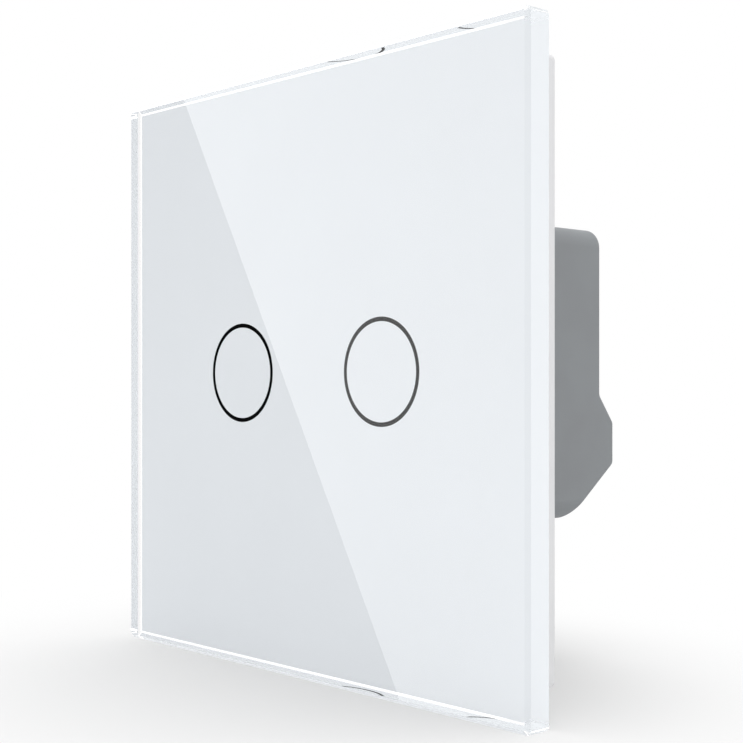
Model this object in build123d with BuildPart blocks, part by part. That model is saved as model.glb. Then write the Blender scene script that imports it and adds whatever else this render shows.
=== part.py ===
from build123d import *
import os
from math import cos, pi, radians, sin, tan

# Touch light switch with two gangs: a glass panel on a plastic frame, a steel bracket, and a housing in the
# wall box. Millimetres: X to the right, Y into the wall, Z up, with the wall plane at Y = 0.
os.makedirs("parts", exist_ok=True)

# Glass panel and the print on its back
glass_size = 80.0
glass_thick = 4.0
glass_corner = 0.6
glass_chamfer = 0.5
print_thick = 0.2
print_margin = 0.3
ring_spacing = 28.2
ring_diameter = 13.6
ring_line = 0.48
ring_ink_gap = 0.01
tape_thick = 0.3
tape_margin = 1.0
tape_width = 6.5

# Panel frame
frame_size = 73.0
frame_depth = 4.2
frame_corner = 0.8
skirt_corner = 0.6
frame_wall = 1.4
frame_flange = 1.3
frame_window_corner = 3.0
frame_cover_gap = 2.25
frame_wall_gap = 0.1
pry_notch_width = 8.0
pry_notch_height = 1.5
snap_nub_width = 3.4
snap_nub_depth = 0.9
snap_nub_proud = 0.22
centring_rib_width = 1.2
centring_rib_proud = 0.2
centring_rib_pitch = 40.0

# Mounting bracket
bracket_thick = 0.8
bracket_edge_gap = 0.3
bracket_corner = 4.0
pan_depth = 0.4
pan_edge_gap = 0.5
pan_corner = 3.0
slot_spacing = 60.0
slot_length = 7.0
slot_width = 4.0
bracket_window_width = 26.0
window_chip_gap = 3.5
window_header_gap = 1.25
bracket_window_corner = 2.0
tab_width = 8.0
tab_height = 1.9
tab_pitch = 38.0
tab_relief = 1.0
tab_slit_width = 4.2
tab_slit_height = 1.1

# Screws that hold the housing to the bracket
bracket_screw_thread = 2.6
bracket_screw_length = 8.0
bracket_screw_head = 4.0
screw_hole_gap = 0.1
screw_seat_gap = 0.05
screw_cross_width = 0.5
screw_cross_span = 2.2
screw_cross_depth = 0.7
countersink_deg = 90.0

# Insulation sheet, touch board and what stands on it
sheet_thick = 0.2
sheet_margin = 0.5
touch_board_edge_gap = 1.8
touch_board_thick = 0.8
board_corner_gap = 0.3
chip_length = 10.0
chip_width = 3.9
chip_height = 1.45
chip_z = 4.5
chip_leg_width = 0.4
chip_leg_pitch = 1.27
chip_leg_reach = 1.05
chip_leg_thick = 0.2
chip_leg_count = 8
sheet_window_gap = 0.8
spring_wire = 0.4
spring_large_radius = 4.9
spring_small_radius = 2.4
spring_turns = 2.5
spring_glass_gap = 0.05
spring_samples = 400
spring_sides = 8
light_ring_outer = 14.4
light_ring_inner = 11.0
light_ring_gap = 0.1
light_ring_chamfer = 0.3
led_length = 1.6
led_width = 0.8
led_height = 0.6
led_pocket_gap = 0.2

# Touch cover
cover_corner = 3.0
cover_plate = 1.0
cover_wall = 1.2
cover_print_gap = 0.4
cover_hole_gap = 0.3
cover_edge_round = 0.4
peg_diameter = 2.0
peg_post_diameter = 3.6
peg_pan_gap_x = 1.0
peg_pan_gap_z = 1.5
peg_hole_gap = 0.05

# Connector between the boards
header_width = 12.7
header_thick = 2.5
header_base_height = 2.4
header_rise = 8.7
header_pin_count = 5
header_pin_pitch = 2.54
header_pin_size = 0.64
header_pin_depth = 5.0
header_mate_gap = 0.1
header_pin_gap = 0.08

# Rear housing
housing_depth = 27.6
hump_depth = 30.5
housing_wall = 1.8
housing_corner = 2.6
housing_edge_round = 0.4
hump_round = 1.0
boss_diameter = 5.4
boss_length = 12.0
boss_inset_x = 2.1
boss_inset_z = 2.2
boss_bore_gap = 0.02
boss_bore_extra = 0.6
ledge_width = 6.0
ledge_reach = 1.2
ledge_length = 3.0
ledge_pitch = 16.0
nib_reach = 0.55
nib_length = 1.0
nib_gap = 0.05

# Power board
power_board_y = 5.0
power_board_thick = 1.4
power_board_edge_gap = 0.4
power_board_boss_gap = 0.3
lead_diameter = 0.6
lead_proud = 0.8
lead_hole_gap = 0.1

# Relays
relay_gap = 1.2
relay_lane_gap = 0.88
relay_top_gap = 3.03
relay_width = 10.0
relay_height = 18.0
relay_depth = 12.4
relay_wall = 0.6
relay_fit = 0.05
relay_base_thick = 1.0
yoke_thick = 0.8
yoke_width = 6.0
yoke_rise = 8.35
yoke_reach = 8.2
core_z = -3.4
core_diameter = 2.6
core_rise = 7.9
pole_diameter = 4.2
pole_thick = 0.5
bobbin_flange_width = 7.4
bobbin_flange_height = 6.9
bobbin_flange_thick = 0.6
bobbin_tube_diameter = 3.6
bobbin_gap = 0.05
winding_diameter = 6.5
armature_gap = 0.05
armature_thick = 0.9
armature_length = 8.5
contact_blade_thick = 0.3
contact_blade_width = 4.0
contact_blade_length = 15.0
contact_z = 5.4
contact_diameter = 2.0
contact_height = 0.6
armature_travel_deg = 4.4
closed_contact_gap = 0.03
fixed_blade_thick = 0.4
fixed_blade_width = 3.0
fixed_blade_setback = 2.6
relay_pin_diameter = 0.8
coil_pin_pitch = 6.0
coil_pin_z = 2.2
relay_pin_gap = 0.05

# Other parts on the power board
film_width = 13.0
film_height = 5.0
film_depth = 9.0
film_side_gap = 0.95
film_bottom_gap = 1.5
film_lead_pitch = 10.0
film_round = 0.4
electrolytic_diameter = 6.3
electrolytic_depth = 8.0
electrolytic_gap = 3.3
electrolytic_lead_pitch = 2.5
electrolytic_chamfer = 0.5
electrolytic_groove = 0.25
electrolytic_groove_y = 1.2
choke_relay_gap = 1.2
choke_wall_gap = 1.25
choke_boss_drop = 6.63
lane_choke_drop = 4.52
choke_diameter = 6.4
choke_depth = 7.0
choke_flange = 1.0
choke_neck = 3.2
choke_winding_diameter = 5.8
choke_winding_gap = 0.05
choke_lead_pitch = 5.0
varistor_fuse_gap = 0.9
varistor_diameter = 7.0
varistor_thick = 3.2
varistor_standoff = 1.0
varistor_chamfer = 0.8
varistor_lead_pitch = 4.0
fuse_boss_gap = 1.3
fuse_diameter = 5.6
fuse_depth = 6.0
fuse_lead_pitch = 3.5
fuse_chamfer = 0.5
rectifier_choke_gap = 0.55
rectifier_rise = 5.0
rectifier_width = 4.7
rectifier_height = 3.8
rectifier_depth = 2.5
rectifier_leg_width = 0.7
rectifier_leg_reach = 1.2
rectifier_leg_thick = 0.25
rectifier_leg_pitch = 2.5
control_chip_setback = 1.9
control_chip_rise = 4.3
control_chip_count = 4

# Screw terminals: each pole is tilted, with its screw along the slant and its wire across it
pole_pitch = 11.0
pole_count = 3
terminal_tilt_deg = 37.5
clamp_y = 22.85
lane_z = -4.48
wire_gap = 3.0
strip_thick = 0.8
strip_width = 3.6
strip_reach = 2.8
strip_tail_reach = 5.0
strip_bend = 1.2
cage_width = 7.0
cage_length = 6.0
cage_wall = 1.3
cage_floor = 1.2
cage_travel = 2.0
cage_strip_gap = 0.1
cage_side_gap = 0.3
cage_end_gap = 0.2
cage_round = 0.4
terminal_thread = 3.0
terminal_thread_gap = 0.05
terminal_tip_gap = 0.05
terminal_head = 4.4
terminal_head_height = 1.5
terminal_head_gap = 0.2
terminal_lip = 0.5
terminal_lip_gap = 0.05
terminal_cross_width = 0.8
terminal_cross_span = 3.0
terminal_cross_depth = 0.9
driver_hole = 3.6
wire_hole = 3.4
wire_hole_length = 3.0
wire_funnel = 5.0
wire_funnel_depth = 0.8
block_side_wall = 1.6
block_back_wall = 1.2
block_floor = 4.0
strip_slot_gap = 0.1

# Places in depth, from the wall plane outwards
frame_back = -frame_wall_gap
frame_front = frame_back - frame_depth
print_back = frame_front - tape_thick
glass_back = print_back - print_thick
bracket_front = -bracket_thick
pan_front = bracket_front - pan_depth
board_back = pan_front - sheet_thick
board_front = board_back - touch_board_thick
cover_front = print_back + cover_print_gap
cover_plate_back = cover_front + cover_plate
power_board_back = power_board_y + power_board_thick
lead_tip = power_board_y - lead_proud

# The housing's width: two relays side by side, then a row of parts at either side, then the walls
relay_pitch = relay_width + relay_gap
side_row_x = relay_pitch / 2 + relay_width / 2 + choke_relay_gap + choke_diameter / 2
inner_half_width = side_row_x + choke_diameter / 2 + choke_wall_gap
housing_width = 2 * (inner_half_width + housing_wall)

# Its height: the terminals' strips cross it in one lane, with the relays above and the choke below
relay_z = lane_z + strip_thick / 2 + relay_lane_gap + relay_height / 2
inner_top = relay_z + relay_height / 2 + relay_top_gap
choke_z = lane_z - lane_choke_drop
inner_bottom = choke_boss_drop + boss_inset_z - choke_z
housing_top = inner_top + housing_wall
housing_bottom = inner_bottom + housing_wall
bracket_screw_pitch_x = 2 * (inner_half_width - boss_inset_x)
bracket_screw_pitch_z = 2 * (inner_top - boss_inset_z)

# Places of the parts in the side rows and along the bottom
choke_x = side_row_x
fuse_x = side_row_x
varistor_x = side_row_x
electrolytic_x = -side_row_x
fuse_z = inner_top - boss_inset_z - boss_diameter / 2 - fuse_boss_gap - fuse_diameter / 2
varistor_z = fuse_z - fuse_diameter / 2 - varistor_fuse_gap - varistor_diameter / 2
electrolytic_low_z = choke_z
electrolytic_high_z = electrolytic_low_z + electrolytic_diameter + electrolytic_gap
film_x = electrolytic_x + electrolytic_diameter / 2 + film_side_gap + film_width / 2
film_z = film_bottom_gap + film_height / 2 - inner_bottom
rectifier_x = choke_x - choke_diameter / 2 - rectifier_choke_gap - rectifier_width / 2
rectifier_z = rectifier_rise - inner_bottom
control_chip_x = rectifier_x - control_chip_setback
control_chip_z = control_chip_rise - inner_bottom
header_z = header_rise - inner_bottom

# Sizes that follow from the driving ones
skirt_inner = frame_size - 2 * frame_wall
bracket_size = skirt_inner - 2 * bracket_edge_gap
housing_height = housing_top + housing_bottom
housing_middle = (housing_top - housing_bottom) / 2
pan_width = housing_width + 2 * pan_edge_gap
pan_height = housing_height + 2 * pan_edge_gap
peg_pitch_x = pan_width + 2 * peg_pan_gap_x
peg_pitch_z = pan_height + 2 * peg_pan_gap_z
cover_inner_width = peg_pitch_x + peg_post_diameter
cover_inner_height = peg_pitch_z + peg_post_diameter
cover_width = cover_inner_width + 2 * cover_wall
cover_height = cover_inner_height + 2 * cover_wall
frame_window = cover_width + 2 * frame_cover_gap
touch_board_width = cover_inner_width - 2 * touch_board_edge_gap
touch_board_height = cover_inner_height - 2 * touch_board_edge_gap
chip_span = chip_width + 2 * chip_leg_reach
window_top = chip_z + chip_span / 2 + window_chip_gap
window_bottom = header_z - header_thick / 2 - window_header_gap
ring_places = [(-ring_spacing / 2, 0), (ring_spacing / 2, 0)]
screw_radius = bracket_screw_thread / 2
relay_places = [(-relay_pitch / 2, relay_z), (relay_pitch / 2, relay_z)]
pole_places = [(i - (pole_count - 1) / 2) * pole_pitch for i in range(pole_count)]


# A sketch plane across the depth: its x is X, its y is Z, and it is extruded towards the front
def facing(y):
    return Plane(origin=(0, y, 0), x_dir=(1, 0, 0), z_dir=(0, -1, 0))


# Front panel: the glass
with BuildPart() as glass_panel:
    with BuildSketch(facing(glass_back)):
        RectangleRounded(glass_size, glass_size, glass_corner)
    extrude(amount=glass_thick)
    rims = glass_panel.edges().group_by(Axis.Y)
    chamfer(rims[0] + rims[-1], glass_chamfer)
glass_panel.part.label = "glass_panel"
export_step(glass_panel.part, "parts/glass_panel.step")

# The white print, left out in two rings
print_size = glass_size - 2 * glass_chamfer - 2 * print_margin
with BuildPart() as back_print:
    with BuildSketch(facing(print_back)):
        Rectangle(print_size, print_size)
        with Locations(*ring_places):
            Circle(ring_diameter / 2, mode=Mode.SUBTRACT)
            Circle(ring_diameter / 2 - ring_line)
    extrude(amount=print_thick)
back_print.part.label = "back_print"
export_step(back_print.part, "parts/back_print.step")

# Smoked ink in the rings
with BuildPart() as ring_windows:
    with BuildSketch(facing(print_back)):
        with Locations(*ring_places):
            Circle(ring_diameter / 2 - ring_ink_gap)
            Circle(ring_diameter / 2 - ring_line + ring_ink_gap, mode=Mode.SUBTRACT)
    extrude(amount=print_thick)
ring_windows.part.label = "ring_windows"
export_step(ring_windows.part, "parts/ring_windows.step")

# Adhesive tape between glass and frame
tape_size = frame_size - 2 * tape_margin
with BuildPart() as panel_tape:
    with BuildSketch(facing(frame_front)):
        RectangleRounded(tape_size, tape_size, frame_corner)
        Rectangle(tape_size - 2 * tape_width, tape_size - 2 * tape_width, mode=Mode.SUBTRACT)
    extrude(amount=tape_thick)
panel_tape.part.label = "panel_tape"
export_step(panel_tape.part, "parts/panel_tape.step")

# The frame: a flange behind the glass and a skirt round the bracket, with snap nubs and centring ribs
tab_middle_y = bracket_front - tab_height / 2
with BuildPart() as panel_frame:
    with BuildSketch(facing(frame_back)):
        RectangleRounded(frame_size, frame_size, frame_corner)
    extrude(amount=frame_depth)
    with BuildSketch(facing(frame_back)):
        RectangleRounded(skirt_inner, skirt_inner, skirt_corner)
    extrude(amount=frame_depth - frame_flange, mode=Mode.SUBTRACT)
    with BuildSketch(facing(frame_back)):
        RectangleRounded(frame_window, frame_window, frame_window_corner)
    extrude(amount=frame_depth, mode=Mode.SUBTRACT)
    with BuildSketch(facing(frame_back)):
        with Locations((0, -(frame_size - frame_wall) / 2)):
            Rectangle(pry_notch_width, frame_wall)
    extrude(amount=pry_notch_height, mode=Mode.SUBTRACT)
    for side in (1, -1):
        for x in (-tab_pitch / 2, tab_pitch / 2):
            with BuildSketch(Plane.YZ.offset(x - snap_nub_width / 2)):
                with BuildLine():
                    Polyline(
                        (tab_middle_y - snap_nub_depth / 2, side * skirt_inner / 2),
                        (tab_middle_y + snap_nub_depth / 2, side * skirt_inner / 2),
                        (tab_middle_y, side * (skirt_inner / 2 - snap_nub_proud)),
                        close=True,
                    )
                make_face()
            extrude(amount=snap_nub_width)
    with BuildSketch(facing(frame_back)):
        with GridLocations(skirt_inner - centring_rib_proud, centring_rib_pitch, 2, 2):
            Rectangle(centring_rib_proud, centring_rib_width)
    extrude(amount=frame_depth - frame_flange)
panel_frame.part.label = "panel_frame"
export_step(panel_frame.part, "parts/panel_frame.step")

# Mounting bracket: a plate with a shallow pan pressed forward where the housing sits
with BuildPart() as mounting_bracket:
    with BuildSketch(facing(0)):
        RectangleRounded(bracket_size, bracket_size, bracket_corner)
    extrude(amount=bracket_thick)
    with BuildSketch(facing(bracket_front)):
        with Locations((0, housing_middle)):
            RectangleRounded(pan_width, pan_height, pan_corner)
    extrude(amount=pan_depth)
    with BuildSketch(facing(0)):
        with Locations((0, housing_middle)):
            RectangleRounded(pan_width, pan_height, pan_corner)
    extrude(amount=pan_depth, mode=Mode.SUBTRACT)
    # Tabs bent forward at the upper and lower edges, each between two relief notches
    for side in (1, -1):
        for x in (-tab_pitch / 2, tab_pitch / 2):
            edge = side * bracket_size / 2
            with BuildSketch(facing(bracket_front)):
                with Locations((x, edge - side * bracket_thick / 2)):
                    Rectangle(tab_width, bracket_thick)
            extrude(amount=tab_height)
            with BuildSketch(facing(0)):
                with Locations(
                    (x - (tab_width + tab_relief) / 2, edge - side * bracket_thick),
                    (x + (tab_width + tab_relief) / 2, edge - side * bracket_thick),
                ):
                    Rectangle(tab_relief, 2 * bracket_thick)
            extrude(amount=bracket_thick, mode=Mode.SUBTRACT)
            with BuildSketch(facing(tab_middle_y + tab_slit_height / 2)):
                with Locations((x, edge - side * bracket_thick / 2)):
                    Rectangle(tab_slit_width, bracket_thick)
            extrude(amount=tab_slit_height, mode=Mode.SUBTRACT)
    tab_bends = (
        mounting_bracket.edges()
        .filter_by(Axis.X)
        .filter_by_position(Axis.Y, -bracket_thick / 2, bracket_thick / 2)
        .filter_by(lambda e: abs(abs(e.center().Z) - bracket_size / 2) < bracket_thick / 4)
        .filter_by(lambda e: abs(e.length - tab_width) < tab_relief / 2)
    )
    fillet(tab_bends, bracket_thick * 3 / 4)
    # Slots for the wall box screws, side by side and one above the other
    with BuildSketch(facing(0)):
        with GridLocations(slot_spacing, 0, 2, 1):
            SlotOverall(slot_length, slot_width)
        with GridLocations(0, slot_spacing, 1, 2):
            SlotOverall(slot_length, slot_width, rotation=90)
    extrude(amount=bracket_thick, mode=Mode.SUBTRACT)
    # Window for the connector, holes for the cover's pegs, countersunk holes for the housing's screws
    with BuildSketch(facing(-pan_depth)):
        with Locations((0, (window_top + window_bottom) / 2)):
            RectangleRounded(bracket_window_width, window_top - window_bottom, bracket_window_corner)
    extrude(amount=bracket_thick, mode=Mode.SUBTRACT)
    with BuildSketch(facing(0)):
        with GridLocations(peg_pitch_x, peg_pitch_z, 2, 2):
            Circle(peg_diameter / 2 + peg_hole_gap)
    extrude(amount=bracket_thick, mode=Mode.SUBTRACT)
    with Locations(facing(pan_front)):
        with GridLocations(bracket_screw_pitch_x, bracket_screw_pitch_z, 2, 2):
            CounterSinkHole(
                screw_radius + screw_hole_gap,
                bracket_screw_head / 2 + screw_seat_gap,
                bracket_thick,
                counter_sink_angle=countersink_deg,
            )
mounting_bracket.part.label = "mounting_bracket"
export_step(mounting_bracket.part, "parts/mounting_bracket.step")

# Countersunk screws from the bracket into the housing's bosses
screw_cone = (bracket_screw_head / 2 - screw_radius) / tan(radians(countersink_deg / 2))
with BuildPart() as bracket_screws:
    for x in (-bracket_screw_pitch_x / 2, bracket_screw_pitch_x / 2):
        for z in (-bracket_screw_pitch_z / 2, bracket_screw_pitch_z / 2):
            with BuildSketch(facing(pan_front + bracket_screw_length)):
                with Locations((x, z)):
                    Circle(screw_radius)
            extrude(amount=bracket_screw_length - screw_cone)
            with BuildSketch(facing(pan_front + screw_cone)):
                with Locations((x, z)):
                    Circle(screw_radius)
            with BuildSketch(facing(pan_front)):
                with Locations((x, z)):
                    Circle(bracket_screw_head / 2)
            loft()
            with BuildSketch(facing(pan_front + screw_cross_depth)):
                with Locations((x, z)):
                    Rectangle(screw_cross_span, screw_cross_width)
                    Rectangle(screw_cross_width, screw_cross_span)
            extrude(amount=screw_cross_depth, mode=Mode.SUBTRACT)
bracket_screws.part.label = "bracket_screws"
export_step(bracket_screws.part, "parts/bracket_screws.step")

# Insulation sheet with windows for the chip and the connector
sheet_play = 2 * sheet_window_gap
with BuildPart() as insulation_sheet:
    with BuildSketch(facing(pan_front)):
        with Locations((0, housing_middle)):
            RectangleRounded(pan_width - 2 * sheet_margin, pan_height - 2 * sheet_margin, pan_corner)
        with Locations((0, chip_z)):
            Rectangle(chip_length + sheet_play, chip_span + sheet_play, mode=Mode.SUBTRACT)
        with Locations((0, header_z)):
            Rectangle(header_width + sheet_play, header_thick + sheet_play, mode=Mode.SUBTRACT)
    extrude(amount=sheet_thick)
insulation_sheet.part.label = "insulation_sheet"
export_step(insulation_sheet.part, "parts/insulation_sheet.step")

# Touch board, with its corners cut away for the cover's posts
header_pins_x = [(i - (header_pin_count - 1) / 2) * header_pin_pitch for i in range(header_pin_count)]
header_pin_hole = header_pin_size + 2 * header_pin_gap
notch_x = peg_pitch_x / 2 - peg_post_diameter / 2 - board_corner_gap
notch_z = peg_pitch_z / 2 - peg_post_diameter / 2 - board_corner_gap
with BuildPart() as touch_board:
    with BuildSketch(facing(board_back)):
        Rectangle(touch_board_width, touch_board_height)
        with GridLocations(touch_board_width / 2 + notch_x, touch_board_height / 2 + notch_z, 2, 2):
            Rectangle(touch_board_width / 2 - notch_x, touch_board_height / 2 - notch_z, mode=Mode.SUBTRACT)
        with Locations(*[(x, header_z) for x in header_pins_x]):
            Rectangle(header_pin_hole, header_pin_hole, mode=Mode.SUBTRACT)
    extrude(amount=touch_board_thick)
touch_board.part.label = "touch_board"
export_step(touch_board.part, "parts/touch_board.step")

# Touch chip on the back of the touch board, through the bracket's window
with BuildPart() as touch_chip:
    with BuildSketch(facing(board_back + chip_height)):
        with Locations((0, chip_z)):
            Rectangle(chip_length, chip_width)
    extrude(amount=chip_height)
    with BuildSketch(facing(board_back + chip_leg_thick)):
        with Locations((0, chip_z)):
            with GridLocations(chip_leg_pitch, chip_width + chip_leg_reach, chip_leg_count, 2):
                Rectangle(chip_leg_width, chip_leg_reach)
    extrude(amount=chip_leg_thick)
touch_chip.part.label = "touch_chip"
export_step(touch_chip.part, "parts/touch_chip.step")


# Two arcs that leave one point along its direction and reach the next along its own
def joined_arcs(start, start_way, end, end_way):
    chord = end - start
    ways = start_way + end_way
    a = 2 * (1 - start_way.dot(end_way))
    b = 2 * chord.dot(ways)
    c = -chord.dot(chord)
    reach = -c / b if a < 1e-9 else (-b + (b * b - 4 * a * c) ** 0.5) / (2 * a)
    before = start + start_way * reach
    after = end - end_way * reach
    middle = (before + after) / 2
    TangentArc(start, middle, tangent=start_way)
    TangentArc(middle, end, tangent=(after - before).normalized())


# Conical touch springs: a foot on the board, turns that narrow towards the glass, and a straight tip
spring_tip_y = print_back + spring_glass_gap
coil_rise = board_front - spring_tip_y - 4 * spring_wire
turn_steps = int(spring_turns * 4)


def coil_point(step, centre_x):
    share = step / turn_steps
    radius = spring_large_radius + (spring_small_radius - spring_large_radius) * share
    turn = step * pi / 2
    depth = board_front - 2 * spring_wire - coil_rise * share
    return Vector(centre_x + radius * cos(turn), depth, radius * sin(turn))


def coil_way(step):
    share = step / turn_steps
    radius = spring_large_radius + (spring_small_radius - spring_large_radius) * share
    turn = step * pi / 2
    narrowing = (spring_small_radius - spring_large_radius) / (turn_steps * pi / 2)
    climb = -coil_rise / (turn_steps * pi / 2)
    return Vector(
        narrowing * cos(turn) - radius * sin(turn), climb, narrowing * sin(turn) + radius * cos(turn)
    ).normalized()


forward = Vector(0, -1, 0)
with BuildPart() as touch_springs:
    for centre_x, _ in ring_places:
        first = coil_point(0, centre_x)
        last = coil_point(turn_steps, centre_x)
        foot_way = coil_way(0)
        tip_way = coil_way(turn_steps)
        foot_top = first - (foot_way + forward) * spring_wire
        tip_foot = last + (tip_way + forward) * spring_wire
        foot = Vector(foot_top.X, board_front, foot_top.Z)
        tip = Vector(tip_foot.X, spring_tip_y, tip_foot.Z)
        with BuildLine() as wire_path:
            Line(foot, foot_top)
            joined_arcs(foot_top, forward, first, foot_way)
            for step in range(turn_steps):
                joined_arcs(
                    coil_point(step, centre_x),
                    coil_way(step),
                    coil_point(step + 1, centre_x),
                    coil_way(step + 1),
                )
            joined_arcs(last, tip_way, tip_foot, forward)
            Line(tip_foot, tip)
        with BuildSketch(Plane(origin=foot, x_dir=(1, 0, 0), z_dir=forward)):
            RegularPolygon(spring_wire / 2, spring_sides)
        sweep(path=wire_path.line)
touch_springs.part.label = "touch_springs"
export_step(touch_springs.part, "parts/touch_springs.step")

# The least gap between neighbouring turns of a spring, measured on points of its wire
samples = [wire_path.line @ (i / spring_samples) for i in range(spring_samples + 1)]
near = int(spring_samples / spring_turns / 2)
least = min((a - b).length for i, a in enumerate(samples) for b in samples[i + near :])
print(f"touch spring: least gap between turns {least - spring_wire:.2f} mm")

# Light rings round the springs, with pockets for the LEDs at either side
ring_middle = (light_ring_outer + light_ring_inner) / 4
ring_depth = board_front - (print_back + light_ring_gap)
with BuildPart() as light_rings:
    with BuildSketch(facing(board_front)):
        with Locations(*ring_places):
            Circle(light_ring_outer / 2)
            Circle(light_ring_inner / 2, mode=Mode.SUBTRACT)
    extrude(amount=ring_depth)
    front_rims = light_rings.edges().group_by(Axis.Y)[0]
    chamfer(front_rims.filter_by(lambda e: e.radius > ring_middle), light_ring_chamfer)
    with BuildSketch(facing(board_front)):
        for x, z in ring_places:
            with Locations((x, z + ring_middle), (x, z - ring_middle)):
                Rectangle(led_length + 2 * led_pocket_gap, light_ring_outer - light_ring_inner)
    extrude(amount=led_height + led_pocket_gap, mode=Mode.SUBTRACT)
light_rings.part.label = "light_rings"
export_step(light_rings.part, "parts/light_rings.step")

with BuildPart() as indicator_leds:
    with BuildSketch(facing(board_front)):
        for x, z in ring_places:
            with Locations((x, z + ring_middle), (x, z - ring_middle)):
                Rectangle(led_length, led_width)
    extrude(amount=led_height)
indicator_leds.part.label = "indicator_leds"
export_step(indicator_leds.part, "parts/indicator_leds.step")

# Touch cover: a shallow white tray over the board, with a hole round each light ring and four pegs
with BuildPart() as touch_cover:
    with BuildSketch(facing(bracket_front)):
        RectangleRounded(cover_width, cover_height, cover_corner)
    extrude(amount=bracket_front - cover_front)
    fillet(touch_cover.edges().group_by(Axis.Y)[0], cover_edge_round)
    with BuildSketch(facing(bracket_front)):
        RectangleRounded(cover_inner_width, cover_inner_height, cover_corner - cover_wall)
    extrude(amount=bracket_front - cover_plate_back, mode=Mode.SUBTRACT)
    with BuildSketch(facing(cover_plate_back)):
        with Locations(*ring_places):
            Circle(light_ring_outer / 2 + cover_hole_gap)
    extrude(amount=cover_plate, mode=Mode.SUBTRACT)
    with BuildSketch(facing(bracket_front)):
        with GridLocations(peg_pitch_x, peg_pitch_z, 2, 2):
            Circle(peg_post_diameter / 2)
    extrude(amount=bracket_front - cover_plate_back)
    with BuildSketch(facing(-frame_wall_gap)):
        with GridLocations(peg_pitch_x, peg_pitch_z, 2, 2):
            Circle(peg_diameter / 2)
    extrude(amount=-frame_wall_gap - bracket_front)
touch_cover.part.label = "touch_cover"
export_step(touch_cover.part, "parts/touch_cover.step")

# Connector: a block of pins under the touch board and a socket on the power board
header_base_end = board_back + header_base_height
header_pin_tip = header_base_end + header_pin_depth / 2
with BuildPart() as header_block:
    with BuildSketch(facing(header_base_end)):
        with Locations((0, header_z)):
            Rectangle(header_width, header_thick)
        with Locations(*[(x, header_z) for x in header_pins_x]):
            Rectangle(header_pin_size, header_pin_size, mode=Mode.SUBTRACT)
    extrude(amount=header_base_height)
header_block.part.label = "header_block"
export_step(header_block.part, "parts/header_block.step")

with BuildPart() as header_pins:
    with BuildSketch(facing(header_pin_tip)):
        with Locations(*[(x, header_z) for x in header_pins_x]):
            Rectangle(header_pin_size, header_pin_size)
    extrude(amount=header_pin_tip - board_front)
header_pins.part.label = "header_pins"
export_step(header_pins.part, "parts/header_pins.step")

socket_front = header_base_end + header_mate_gap
with BuildPart() as header_socket:
    with BuildSketch(facing(power_board_y)):
        with Locations((0, header_z)):
            Rectangle(header_width, header_thick)
    extrude(amount=power_board_y - socket_front)
    with BuildSketch(facing(header_pin_tip + header_mate_gap)):
        with Locations(*[(x, header_z) for x in header_pins_x]):
            Rectangle(header_pin_hole, header_pin_hole)
    extrude(amount=header_pin_tip + header_mate_gap - socket_front, mode=Mode.SUBTRACT)
header_socket.part.label = "header_socket"
export_step(header_socket.part, "parts/header_socket.step")

# The clamp plane of the terminals: its x is X, its y is the way the wires leave, and it rises towards
# the screw heads
tilt = radians(terminal_tilt_deg)
screw_way = Vector(0, cos(tilt), sin(tilt))
wire_way = Vector(0, sin(tilt), -cos(tilt))
strip_low = wire_gap / 2
strip_high = strip_low + strip_thick
strip_middle = (strip_low + strip_high) / 2
clamp_z = lane_z - strip_middle * sin(tilt) - strip_tail_reach * cos(tilt)
clamp_origin = Vector(0, clamp_y, clamp_z)
clamp = Plane(origin=clamp_origin, x_dir=(1, 0, 0), z_dir=screw_way)


def wire_plane(distance):
    return Plane(origin=clamp_origin + wire_way * distance, x_dir=(1, 0, 0), z_dir=wire_way)


def tilted(rise, out):
    point = clamp_origin + screw_way * rise + wire_way * out
    return (point.Y, point.Z)


cage_low = -wire_gap / 2 - cage_floor
cage_roof = strip_high + cage_strip_gap
cage_high = cage_roof + cage_floor
head_low = cage_high + cage_travel + cage_strip_gap
head_high = head_low + terminal_head_height
lip_low = head_high + terminal_lip_gap
upper_slope = lip_low + terminal_lip
pocket_end = cage_length / 2 + cage_end_gap
funnel_start = pocket_end + wire_hole_length
lower_slope = funnel_start + wire_funnel_depth

# Rear housing: its side outline follows the terminals' two slopes
slope_start_z = clamp_z + (upper_slope - (housing_depth - clamp_y) * cos(tilt)) / sin(tilt)
hump_top_z = clamp_z + (upper_slope - (hump_depth - clamp_y) * cos(tilt)) / sin(tilt)
hump_low_z = clamp_z - (lower_slope - (hump_depth - clamp_y) * sin(tilt)) / cos(tilt)
slope_end_y = clamp_y + (lower_slope + (-housing_bottom - clamp_z) * cos(tilt)) / sin(tilt)
housing_front = -pan_depth
outline_points = [
    (housing_front, housing_top),
    (housing_depth, housing_top),
    (housing_depth, slope_start_z),
    (hump_depth, hump_top_z),
    (hump_depth, hump_low_z),
    (slope_end_y, -housing_bottom),
    (housing_front, -housing_bottom),
]
pocket_width = cage_width + 2 * cage_side_gap
block_width = (pole_count - 1) * pole_pitch + pocket_width + 2 * block_side_wall
block_start = -pocket_end - block_back_wall
pocket_roof = cage_high + cage_travel + 4 * cage_strip_gap

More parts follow.
